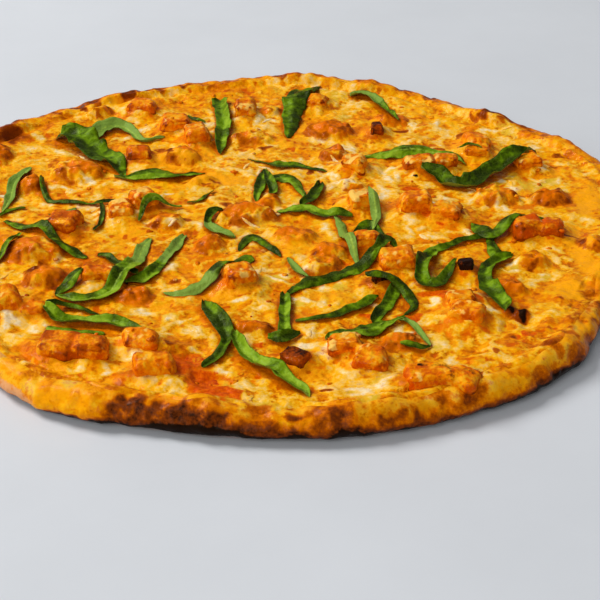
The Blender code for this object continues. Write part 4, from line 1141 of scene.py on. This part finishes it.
def buildStrands(material, ground):
    count, sides = cheese["raisedStrands"], 6
    x, y, turn, draw = strandPaths(9 * count, seed=81, stations=9, lengths=cheese["raisedLength"])
    covering = (readRaster(ground, x, y) - readRaster(rasters["sheet"], x, y)).max(1)
    best = np.argsort(covering - creamField(x, y).min(1), kind="stable")[:count]
    x, y, turn = x[best], y[best], turn[best]
    ring = np.arange(sides) / sides * 2 * math.pi
    taper = np.sin(np.linspace(0.18, math.pi - 0.18, x.shape[1])) ** 0.55
    width = draw.uniform(*cheese["strandWidth"], (count, 1)) * 0.5 * taper
    width = width * (1 + 0.125 * draw.normal(0, 1, x.shape))
    height = draw.uniform(*cheese["raisedHeight"], (count, 1)) * taper
    pointX = x[..., None] - np.sin(turn)[..., None] * np.cos(ring) * width[..., None]
    pointY = y[..., None] + np.cos(turn)[..., None] * np.cos(ring) * width[..., None]
    around = readRaster(ground, pointX, pointY)
    surface = 0.5 * around + 0.5 * readRaster(ground, x, y)[..., None]
    z = surface + np.sin(ring) * height[..., None] - 0.08
    points = np.stack((pointX, pointY, z), -1).reshape(-1, 3)
    cream = creamField(x, y) + draw.uniform(-0.25, 0.35, (count, 1))
    index = np.arange(len(points)).reshape(count, x.shape[1], sides)
    mesh = newMesh("meltedStrands", points, loftFaces(index))
    tone = np.repeat(cream[..., None], sides, 2).ravel()
    flatX, flatY, _ = points.T
    covered = softSpots(flatX, flatY, scaled(toppings["lumps"], 1.05, 1.05))
    toast = 0.8 * softSpots(flatX, flatY, spots["toast"], 1.2)
    setMask(mesh, "pale", tone * 0.8)
    setMask(mesh, "stain", 0.7 * covered - 0.4 * tone + 0.1)
    setMask(mesh, "toast", np.maximum(toast, rimStain(*points.T)))
    setMask(mesh, "red", softSpots(flatX, flatY, spots["red"], 2.2) * 0.8)
    stampRaster(ground, *points.T)
    addPiece("meltedStrands", mesh, material)


crumbs = {
    "count": 150,
    "reach": 132,              # how far from the middle they lie
    "size": (0.5, 1.3),        # radius, mm
    "rings": 7,
    "sides": 8,
}


def buildCrumbs(material, ground):
    # little round lumps: rings of a ball, squeezed and roughened, half sunk in the cheese
    count, rings, sides = crumbs["count"], crumbs["rings"], crumbs["sides"]
    draw = np.random.default_rng(91)
    radius = np.sqrt(draw.uniform(0, 1, count)) * crumbs["reach"]
    angle = draw.uniform(0, 2 * math.pi, count)
    x, y = radius * np.cos(angle), radius * np.sin(angle)
    size = draw.uniform(*crumbs["size"], count)[:, None, None]
    lean = np.linspace(0.12, math.pi - 0.12, rings)[None, :, None]
    turn = np.arange(sides)[None, None] / sides * 2 * math.pi
    rough = draw.uniform(0.75, 1.25, (count, rings, sides))
    ball = size * rough * np.sin(lean)
    pointX = x[:, None, None] + ball * np.cos(turn) * draw.uniform(0.7, 1.5, (count, 1, 1))
    pointY = y[:, None, None] + ball * np.sin(turn)
    middle = readRaster(ground, x, y)[:, None, None]
    pointZ = middle + size * 0.5 * rough * np.cos(lean) + 0.05
    points = np.stack((pointX, pointY, pointZ), -1).reshape(-1, 3)
    index = np.arange(len(points)).reshape(count, rings, sides)
    mesh = newMesh("chickenCrumbs", points, loftFaces(index))
    tone = np.repeat(draw.uniform(0, 1, count), rings * sides)
    setMask(mesh, "brown", tone * 0.8)
    setMask(mesh, "sauce", 0.9 - tone)
    setMask(mesh, "cheese", (tone > 0.75) * 0.5)
    setMask(mesh, "burnt", (tone > 0.97) * 0.8)
    stampRaster(ground, *points.T)
    addPiece("chickenCrumbs", mesh, material)


# The basil: shreds of leaf laid one on another. Fresh basil, shredded and wilted by the heat, is
# dark and slightly glossy above and pale and matt below, with lighter veins; its edges are painted
# darker, as shade.

basil = {
    "step": 0.8,               # between the stations of a shred, mm
    "across": 11,              # points over its width
    "thickness": 0.24,
    "tilt": 0.25,              # how far it leans to a side, radians
    "ruffle": 0.12,            # waves of its edges, as a share of the width
    "veinSpacing": 3.4,
    "veinSlant": 0.8,
    # lightness of the leaf, and its colour there
    "shades": ((0.0, "#202F00"), (0.3, "#415800"), (0.6, "#6A8C02"), (0.95, "#94B426")),
    # the vein colour covers the veins and the rib, the rib in part a painted highlight
    "layers": (("underside", "#7E9C3C", 0.2, 0.8, 0.15), ("vein", "#A6C044", 0.25, 1.15, 0.25),
               # the edge colour is painted shade along the edges of the shreds
               ("edge", "#1E2C02", 0.5, 1.7, 0.35)),
    "fineVeins": "#93A83A",
    # each shred is fold, lightness, underside, route; the route is x, y, width; a positive fold is
    # a gutter, a negative one a roof; underside is the share of the length that shows it
    "tangles": (
        ((0.2, 0.75, (0, 1), ((-86, 72, 5), (-82, 84, 7.5), (-74, 87, 6.5), (-68, 81, 4.5),
             (-62, 72, 3), (-52, 75, 1))),
         (0.2, 0.36, None, ((-102, 78, 8), (-93, 72, 17), (-82, 57, 14.5), (-73, 46, 11),
             (-67, 36, 2)))),
        ((-0.2, 0.4, None, ((-71, 33, 1.5), (-66, 31, 2), (-62, 32, 5), (-54, 35, 8.5),
             (-46, 34, 8), (-40, 36, 4.5), (-31, 39, 1))),),
        ((0.2, 0.4, None, ((-116, -4, 1.5), (-112, 1, 2.5), (-109, 3, 2.5), (-106, 4, 1.5))),
         (0.3, 0.6, (0, 1), ((-110, 43, 1.5), (-112, 36, 5), (-114, 25, 5), (-114, 11, 4),
             (-115, -1, 1)))),
        ((0.2, 0.1, None, ((-74, 8, 1.5), (-72, -3, 2), (-72, -12, 2), (-74, -18, 1.5))),
         (-0.25, 0.1, None, ((-103, 31, 1.5), (-101, 21, 2.5), (-97, 11, 3), (-91, 9, 3.5),
             (-86, 8, 4), (-80, 7, 2.5), (-74, 7, 2.5), (-68, 12, 2)))),
        ((0.2, 0.45, (0.2, 1), ((-95, -3, 1.5), (-91, -3, 3), (-87, 0, 2.5), (-84, 3, 1))),),
        ((-0.2, 0.25, None, ((-113, -8, 2.5), (-107, -12, 5.5), (-98, -17, 5), (-92, -23, 4.5),
             (-87, -31, 5), (-80, -36, 5), (-74, -40, 2))),),
        ((0.2, 0.5, None, ((-104, -20, 1.5), (-106, -30, 4), (-108, -39, 3.5), (-110, -47, 1))),),
        ((0.2, 0.5, None, ((-56, -10, 1), (-54, -2, 2.5), (-50, 2, 2.5), (-45, 2, 2),
             (-39, 5, 1))),),
        ((-0.2, 0.12, None, ((-82, -70, 1.5), (-80, -65, 4.5), (-77, -62, 6), (-73, -58, 2))),
         (0.2, 0.45, (0, 0.5), ((-36, -21, 3), (-40, -34, 4.5), (-43, -44, 4.5), (-47, -54, 6),
             (-52, -59, 5.5), (-57, -61, 2))),
         (0.25, 0.12, None, ((-70, -38, 1.5), (-66, -40, 3.5), (-62, -46, 5), (-57, -52, 5),
             (-52, -56, 3))),
         (0.15, 0.6, (0, 0.3), ((-50, -24, 2), (-52, -31, 5), (-53, -41, 6), (-55, -50, 7),
             (-58, -60, 7.5), (-62, -69, 8), (-69, -73, 7.5), (-75, -73, 7), (-82, -70, 1.5)))),
        ((0.2, 0.15, None, ((-83, -83, 3.5), (-81, -80, 4), (-77, -79, 3.5), (-72, -80, 3.5),
             (-66, -83, 2), (-62, -85, 0.8))),
         (-0.2, 0.55, None, ((-82, -93, 2.5), (-77, -96, 4.5), (-72, -97, 5.5), (-66, -97, 5),
             (-60, -97, 2))),
         (0.25, 0.5, None, ((-84, -83, 2.5), (-81, -86, 4.5), (-77, -89, 5.5), (-71, -89, 5.5),
             (-65, -89, 5.5), (-60, -89, 5.5), (-54, -92, 5), (-48, -96, 4), (-43, -98, 1.5)))),
        ((-0.25, 0.25, (0, 0.45), ((-41, -67, 1), (-36, -68, 3), (-31, -67, 5), (-26, -64, 5),
             (-21, -58, 5.5), (-17, -52, 6.5), (-12, -45, 6.5), (-7, -41, 4))),),
        ((0.25, 0.42, None, ((-28, 119, 8.5), (-27, 106, 6.5), (-25, 91, 7), (-25, 77, 6.5),
             (-25, 65, 5), (-25, 58, 1))),),
        ((-0.2, 0.12, None, ((22, 136, 1.5), (16, 128, 8.5), (10, 117, 12), (8, 100, 10),
             (7, 85, 6.5), (6, 76, 1.5))),),
        ((0.25, 0.3, (0, 0.4), ((37, 124, 6), (43, 125, 7.5), (49, 119, 5.5), (54, 107, 5),
             (56, 98, 4.5), (59, 92, 1.5))),),
        ((0.15, 0.35, None, ((-4, 43, 1.5), (-5, 35, 3.5), (-6, 24, 4.5), (-7, 15, 3.5),
             (-7, 10, 1))),
         (0.2, 0.12, None, ((-12, 52, 1), (-4, 49, 2.5), (3, 45, 6), (10, 45, 4.5), (17, 42, 2.5),
             (24, 40, 1))),
         (-0.15, 0.5, None, ((-3, 30, 3.5), (3, 32, 5.5), (9, 28, 5.5), (12, 20, 4), (14, 13, 1))),
         (0.2, 0.3, None, ((-4, 40, 1.5), (-2, 30, 4), (0, 20, 4), (-1, 12, 2)))),
        ((0.2, 0.25, (0, 1), ((7, -39, 1.5), (9, -46, 3), (11, -52, 3.5), (15, -55, 1.5))),
         (0.25, 0.1, None, ((21, 27, 3), (19, 17, 5.5), (16, 10, 5.5), (12, 6, 3))),
         (-0.2, 0.6, (0, 1), ((27, -5, 2.5), (29, -14, 4), (31, -27, 4), (33, -37, 3.5),
             (35, -45, 1.5))),
         (0.25, 0.15, None, ((34, -23, 2), (36, -17, 3.5), (40, -14, 6), (43, -19, 5),
             (46, -25, 2))),
         (-0.3, 0.65, (0, 1), ((42, 13, 1.5), (43, 4, 4), (44, -6, 4), (43, -13, 3),
             (42, -19, 1))),
         (0.2, 0.4, None, ((2, -1, 2.5), (9, 0, 5.5), (15, 1, 6), (21, -3, 5.5), (28, -4, 5),
             (34, -5, 2.5))),
         (-0.2, 0.2, None, ((7, -69, 2), (11, -64, 4.5), (15, -60, 5.5), (22, -57, 5.5),
             (28, -55, 5.5), (34, -51, 6), (39, -47, 5.5), (44, -38, 4.5), (48, -32, 4.5),
             (51, -35, 1.5)))),
        ((0.2, 0.2, None, ((-37, 9, 1), (-32, 10, 2.5), (-29, 15, 2), (-26, 20, 1))),),
        ((0.3, 0.2, (0.42, 1), ((-21, -2, 2.5), (-25, -4, 5), (-27, -10, 3), (-25, -17, 4.5),
             (-20, -21, 4), (-15, -24, 2))),),
        ((-0.25, 0.1, None, ((-13, -35, 1.5), (-11, -27, 3.5), (-8, -23, 4), (-4, -26, 4.5),
             (1, -33, 3.5), (4, -38, 1))),),
        ((0.2, 0.2, None, ((10, -88, 1.5), (17, -87, 3), (24, -85, 3.5), (29, -82, 4.5),
             (35, -78, 5), (39, -73, 3.5), (42, -70, 1))),
         (0.25, 0.45, None, ((6, -69, 3.5), (6, -79, 5), (6, -89, 4.5), (6, -97, 5),
             (5, -103, 2.5))),
         (0.2, 0.15, None, ((0, -101, 2.5), (5, -102, 5), (9, -100, 4), (12, -98, 1.5)))),
        ((0.2, 0.25, None, ((-25, -74, 1.5), (-23, -80, 5), (-19, -88, 7), (-16, -96, 5.5),
             (-15, -102, 4.5), (-17, -110, 4.5), (-20, -115, 4.5), (-23, -119, 1.5))),
         (0.22, 0.62, None, ((-12, -98, 2), (-11, -105, 4.5), (-7, -113, 5.8), (-2, -120, 7),
             (3, -124, 7.4), (7, -129, 6.8), (12, -134, 5), (15, -139, 1)))),
        ((0.2, 0.2, None, ((48, -106, 1), (51, -107, 2.5), (56, -108, 2.5), (59, -106, 0.8))),
         (0.2, 0.3, None, ((49, -62, 1), (48, -69, 4.5), (45, -77, 5.5), (42, -84, 5),
             (39, -90, 3))),
         (-0.25, 0.08, None, ((37, -62, 3.5), (42, -62, 5.5), (47, -64, 5), (51, -67, 4.5),
             (54, -73, 4.5), (55, -79, 3), (51, -84, 1))),
         (0.2, 0.35, (0, 1), ((48, -87, 1.5), (52, -89, 2.5), (55, -94, 2.5), (57, -101, 2),
             (59, -106, 1))),
         (-0.2, 0.5, None, ((21, -104, 1), (25, -100, 4), (30, -98, 5), (35, -97, 7.5),
             (40, -94, 7.5), (44, -91, 5.5), (49, -89, 2.5), (51, -87, 0.8)))),
        ((0.25, 0.25, None, ((60, -41, 1.5), (66, -36, 3.5), (73, -31, 3.5), (79, -26, 3.5),
             (86, -23, 3.5), (93, -22, 2))),
         (0.2, 0.36, None, ((67, -37, 2), (63, -43, 6), (60, -52, 5.5), (60, -61, 6),
             (65, -62, 5.5), (70, -55, 4.5), (74, -45, 1))),
         (-0.2, 0.3, None, ((90, -22, 3.5), (90, -31, 4), (92, -38, 7), (98, -36, 2.5))),
         (-0.25, 0.3, None, ((84, -11, 2), (87, -17, 7), (91, -23, 7), (97, -19, 7),
             (102, -12, 6.5), (107, -8, 5), (115, -8, 2))),
         (0.2, 0.34, None, ((97, -40, 2.5), (93, -42, 6), (87, -48, 6), (84, -58, 5.5),
             (85, -66, 8), (87, -73, 8), (89, -80, 5.5), (89, -83, 1.5)))),
        ((-0.2, 0.6, None, ((40, 54, 1.5), (47, 56, 5.5), (54, 57, 9), (61, 58, 9.5), (68, 58, 9),
             (75, 56, 7.5), (83, 52, 4), (87, 46, 1))),),
        ((0.25, 0.04, None, ((66, 36, 2), (73, 32, 6), (79, 25, 8), (86, 25, 9.5), (93, 32, 9.5),
             (101, 39, 10), (108, 45, 8.5), (114, 50, 4.5), (120, 53, 1.5))),),
        ((-0.2, 0.3, None, ((-127, 23, 2), (-133, 11, 4.5), (-136, -5, 1.5))),),
    ),
    "loose": ((0.2, 0.1, None, ((-43, 103, 1), (-40, 97, 2.4), (-34, 94, 1))),
              (0.3, 0.3, None, ((85, 55, 1), (90, 57, 2), (95, 54, 1)))),
}


def smoothNoise(along, size, draw):
    # random numbers from -1 to 1 at even steps along a path, joined by smooth steps
    place = along / size
    values = draw.uniform(-1, 1, int(place[-1]) + 3)
    step = np.floor(place).astype(int)
    part = smoothStep(place - step, 0, 1)
    return values[step] * (1 - part) + values[step + 1] * part


def shredShape(shred, ground, seed):
    # a strip along its route: it sinks onto what lies under it, folds along its rib and waves at
    # its edges; the ring of each station runs over the top and back along the underside
    fold, _, _, route = shred
    path, length = curveThrough(route, basil["step"])
    path, wide = path[:, :2], np.maximum(path[:, 2], 0.6)
    width = wide.max()
    stations = len(path)
    share = np.linspace(0, 1, stations)
    slope = np.gradient(path, axis=0)
    slope /= np.linalg.norm(slope, axis=1)[:, None]
    across = np.linspace(-1, 1, basil["across"])
    along = share * length
    draw = np.random.default_rng(seed)
    ends = smoothStep(np.minimum(along, length - along), -1.2, 1.2)
    half = 0.5 * wide * ends * (1 + 0.07 * smoothNoise(along, 6.5, draw))
    sides = [1 + 0.12 * smoothNoise(along, 4, draw)[:, None] for _ in (0, 1)]
    reach = half[:, None] * across * np.where(across < 0, *sides)
    tilt = basil["tilt"] * smoothNoise(along, 9, draw)[:, None]
    x = path[:, :1] - slope[:, 1:] * reach * np.cos(tilt)
    y = path[:, 1:] + slope[:, :1] * reach * np.cos(tilt)
    support = readRaster(ground, x, y)
    crest = support.copy()
    for shift in range(1, 4):
        crest[shift:] = np.maximum(crest[shift:], support[:-shift])
        crest[:-shift] = np.maximum(crest[:-shift], support[shift:])
    spread = np.exp(-((np.arange(stations)[:, None] - np.arange(stations)) / 4.5) ** 2)
    drape = spread @ crest / spread.sum(1)[:, None]
    drape = 0.45 * drape + 0.55 * drape.max(1, keepdims=True) - 0.25
    crease = np.sqrt((across - draw.uniform(-0.25, 0.25)) ** 2 + 0.012)
    folded = fold * width * (crease if fold > 0 else crease - 1) * (half / (0.5 * width))[:, None]
    curl = draw.uniform(-0.04, 0.10, 2)[(across > 0).astype(int)] * width
    ruffle = np.where(across > 0, *[smoothNoise(along, 4.5, draw)[:, None] for _ in (0, 1)])
    wave = basil["ruffle"] * width * ruffle * abs(across) ** 1.5
    wave = wave + curl * smoothStep(abs(across), 0.5, 1)
    twist = np.sin(tilt) * reach
    z = drape + 0.3 + folded + wave + twist - twist.min(1, keepdims=True) * 0.6
    z = np.maximum(z, support + 0.12)
    z = 0.25 * np.roll(z, 1, 0) + 0.5 * z + 0.25 * np.roll(z, -1, 0) if stations > 6 else z
    z[0], z[-1] = z[1], z[-2]
    crinkle = 0.28 * flatNoise(x, y, 2.8, seed) + 0.14 * flatNoise(x, y, 1.4, seed + 1)
    slant = along[:, None] + basil["veinSlant"] * abs(reach)
    veins = np.cos(2 * math.pi * slant / basil["veinSpacing"]) * smoothStep(abs(across), 0.1, 0.4)
    rib = 0.12 * np.exp(-(reach / 0.45) ** 2)
    z = np.maximum(z + crinkle + 0.05 * veins - rib, support + 0.08)
    thickness = basil["thickness"] * (0.55 + 0.45 * np.sqrt(np.clip(1 - across ** 2, 0, 1)))
    top = np.stack((x, y, z), -1)
    below = np.stack((x, y, z - thickness), -1)[:, ::-1]
    return np.concatenate((top, below), 1), (across, share, along, half[:, None]), draw


def shredMasks(shred, places, draw):
    # how light the leaf is, whether its underside shows, and where its edges, veins and rib run;
    # the two halves of a folded shred are painted lighter and darker, as light and shade
    fold, lightness, underside, _ = shred
    across, share, along, half = places
    both = np.concatenate((across, across[::-1]))
    under = np.zeros((len(along), len(both)))
    under[:, len(across):] = 1
    if underside:
        low, high = underside
        shown = 1 - smoothStep(share, high - 0.02, high + 0.08)
        shown = shown * smoothStep(share, low - 0.08, low + 0.02)
        under[:, :len(across)] = shown[:, None]
    drift = 0.25 * smoothNoise(along, 6, draw)[:, None]
    # painted light and shade: one half of a folded shred lighter, the other darker
    drift = drift + 0.34 * np.sign(fold) * (smoothStep(both, -0.3, 0.3) - 0.5)
    slant = along[:, None] + basil["veinSlant"] * half * abs(both)
    vein = smoothStep(np.cos(2 * math.pi * slant / basil["veinSpacing"]), 0.75, 1)
    # the rib is a pale midrib and in part a painted highlight along it, shown on the lighter
    # shreds
    rib = np.exp(-(both * half / 0.5) ** 2) * smoothStep(lightness, 0.3, 0.6)
    # painted shade along the edges
    edge = np.broadcast_to(smoothStep(abs(both), 0.72, 1.0), under.shape)
    return {"underside": under, "light": lightness + drift, "edge": edge,
            "vein": 0.3 * vein + 0.7 * rib}


def buildTangle(name, shreds, material, ground, replaced, seed):
    # the shreds of a tangle, each laid on the ones before it, as one mesh
    rings, faces, masks, start = [], [], [], 0
    for order, shred in enumerate(shreds):
        ring, places, draw = shredShape(shred, ground, seed * 20 + order)
        index = np.arange(ring.size // 3).reshape(1, *ring.shape[:2]) + start
        start += ring.size // 3
        rings.append(ring.reshape(-1, 3))
        faces.append(loftFaces(index))
        masks.append(shredMasks(shred, places, draw))
        top = ring[:, :basil["across"]]
        for part in (top, 0.5 * (top[:-1] + top[1:])):
            x, y, z = part.reshape(-1, 3).T
            stampRaster(ground, x, y, z - 0.05)
    quads, caps = (np.concatenate(kind) for kind in zip(*faces))
    mesh = newMesh(name, np.concatenate(rings), [quads, caps])
    for mask in masks[0]:
        setMask(mesh, mask, np.concatenate([values[mask].ravel() for values in masks]))
    addPiece(name, mesh, material, replaced)


def freshBasilMaterial():
    material, tree = newMaterial("freshBasil")
    place = addNode(tree, "TexCoord").outputs["Object"]
    fine = addNode(tree, "TexNoise", {"Vector": place, "Scale": 1 / (1.1 * mm),
                                      "Detail": 4}).outputs[0]
    coarse = addNode(tree, "TexNoise", {"Vector": place, "Scale": 1 / (4 * mm), "Detail": 4,
                                        "Distortion": 0.4}).outputs[0]
    veins = addNode(tree, "TexVoronoi", {"Vector": place, "Scale": 1 / (1.3 * mm)},
                    feature="DISTANCE_TO_EDGE").outputs["Distance"]
    light = addNode(tree, "Attribute", attribute_name="light").outputs["Fac"]
    drift = addNode(tree, "MapRange", {0: coarse, 1: noiseSpan[0], 2: noiseSpan[1],
                                       3: -0.35, 4: 0.35}).outputs[0]
    level = addNode(tree, "Math", {0: light, 1: drift}, operation="ADD").outputs[0]
    stops = [(at, hexColour(shade)) for at, shade in basil["shades"]]
    colour = addNode(tree, "ValToRGB", {0: level}, stops=stops).outputs[0]
    for mask, shade, low, high, ragged in basil["layers"]:
        colour = layer(tree, colour, mask, shade, low, high, fine, ragged)
    net = addNode(tree, "MapRange", {0: veins, 1: 0.0, 2: 0.12, 3: 0.1, 4: 0.0}).outputs[0]
    colour = addNode(tree, "Mix", {0: net, 6: colour, 7: hexColour(basil["fineVeins"])},
                     data_type="RGBA").outputs[2]
    relief = addNode(tree, "Bump", {"Height": veins, "Strength": 0.2,
                                    "Distance": 0.5 * mm}).outputs[0]
    relief = addNode(tree, "Bump", {"Height": fine, "Strength": 0.35, "Distance": 0.5 * mm,
                                    "Normal": relief}).outputs[0]
    relief = addNode(tree, "Bump", {"Height": coarse, "Strength": 0.6, "Distance": 1.6 * mm,
                                    "Normal": relief}).outputs[0]
    shader = addNode(tree, "BsdfPrincipled", {
        "Base Color": colour, "Roughness": 0.38, "IOR": 1.42, "Specular IOR Level": 0.14,
        "Specular Tint": hexColour("#E8FFA0"), "Normal": relief})
    addNode(tree, "OutputMaterial", {"Surface": shader.outputs[0]})
    return material


# Floor, light and camera.

studio = {
    "target": (0.0118, -0.0585, 0.0),      # what the camera looks at, metres
    "distance": 0.5568,
    "elevation": 31.04,
    "fieldOfView": 24.0,
    "floorHalf": 3.0,
    "floorColours": ("#D6D9DD", "#DCDFE3"),
    "skyColour": "#F4F6FA",
    "skyStrength": 0.2,
    # place, diameter, power
    "keyLight": ((-1.6, 0.8, 1.9), 1.3, 55.0),
    "fillLight": ((-1.0, -1.95, 1.45), 2.0, 27.0),
}


def addAreaLight(name):
    place, size, power = studio[name]
    light = bpy.data.lights.new(name, "AREA")
    light.shape = "DISK"
    light.size = size
    light.energy = power
    lamp = bpy.data.objects.new(name, light)
    bpy.context.scene.collection.objects.link(lamp)
    lamp.location = place
    lamp.rotation_euler = (-Vector(place)).to_track_quat("-Z", "Y").to_euler()


def addFloor():
    # a plain pale surface with faint clouds
    points = np.array([(-1, -1, 0), (1, -1, 0), (1, 1, 0), (-1, 1, 0)]) * studio["floorHalf"]
    mesh = bpy.data.meshes.new("floor")
    mesh.from_pydata(points.tolist(), [], [(0, 1, 2, 3)])
    floor = bpy.data.objects.new("floor", mesh)
    bpy.context.scene.collection.objects.link(floor)
    material, tree = newMaterial("paleFloor")
    place = addNode(tree, "TexCoord").outputs["Object"]
    clouds = addNode(tree, "TexNoise", {"Vector": place, "Scale": 9, "Detail": 6,
                                        "Roughness": 0.6}).outputs[0]
    stops = [(at, hexColour(shade)) for at, shade in zip(noiseSpan, studio["floorColours"])]
    colour = addNode(tree, "ValToRGB", {0: clouds}, stops=stops).outputs[0]
    shader = addNode(tree, "BsdfPrincipled", {"Base Color": colour, "Roughness": 0.7})
    addNode(tree, "OutputMaterial", {"Surface": shader.outputs[0]})
    mesh.materials.append(material)


def setStudio():
    addFloor()
    addAreaLight("keyLight")
    addAreaLight("fillLight")
    world = bpy.data.worlds.new("softSky")
    world.use_nodes = True
    sky = world.node_tree.nodes["Background"]
    sky.inputs["Color"].default_value = hexColour(studio["skyColour"])
    sky.inputs["Strength"].default_value = studio["skyStrength"]
    bpy.context.scene.world = world
    lift = math.radians(studio["elevation"])
    camera = bpy.data.objects.new("camera", bpy.data.cameras.new("camera"))
    camera.data.sensor_fit = "HORIZONTAL"
    camera.data.angle = math.radians(studio["fieldOfView"])
    camera.data.clip_start = 0.01
    x, y, z = studio["target"]
    back, up = studio["distance"] * math.cos(lift), studio["distance"] * math.sin(lift)
    camera.location = (x, y - back, z + up)
    camera.rotation_euler = (math.pi / 2 - lift, 0, 0)
    bpy.context.scene.collection.objects.link(camera)
    bpy.context.scene.camera = camera
    bpy.context.scene.view_settings.view_transform = "Standard"


print("laying the grated cheese")
rasters["strands"], rasters["tone"] = meltedStrands()
rasters["shade"] = leafShade()
print("building the crust")
rasters["rim"] = buildCrust(foodMaterial("bakedDough", crust["finish"]))
print("laying out the cheese")
rasters["sheet"] = sheetHeight()
print("building the sauce and the cheese")
buildSauce(tomatoCreamSauceMaterial())
mozzarella = foodMaterial("bakedMozzarella", cheese["finish"])
buildCheese(mozzarella)
print("building the chicken")
roastChicken = foodMaterial("roastChicken", chicken["finish"])
ground = buildChicken(roastChicken, rasters["sheet"].copy())
print("building strands and crumbs")
buildStrands(mozzarella, ground)
buildCrumbs(roastChicken, ground)
print("building the basil")
leaf = freshBasilMaterial()
for number, tangle in enumerate(basil["tangles"], start=1):
    node = f"basil_{number:02d}"
    buildTangle(f"basil{number:02d}", tangle, leaf, ground, [node], 100 + number)
buildTangle("looseBasil", basil["loose"], leaf, ground, [], 140)
print("setting the studio")
setStudio()
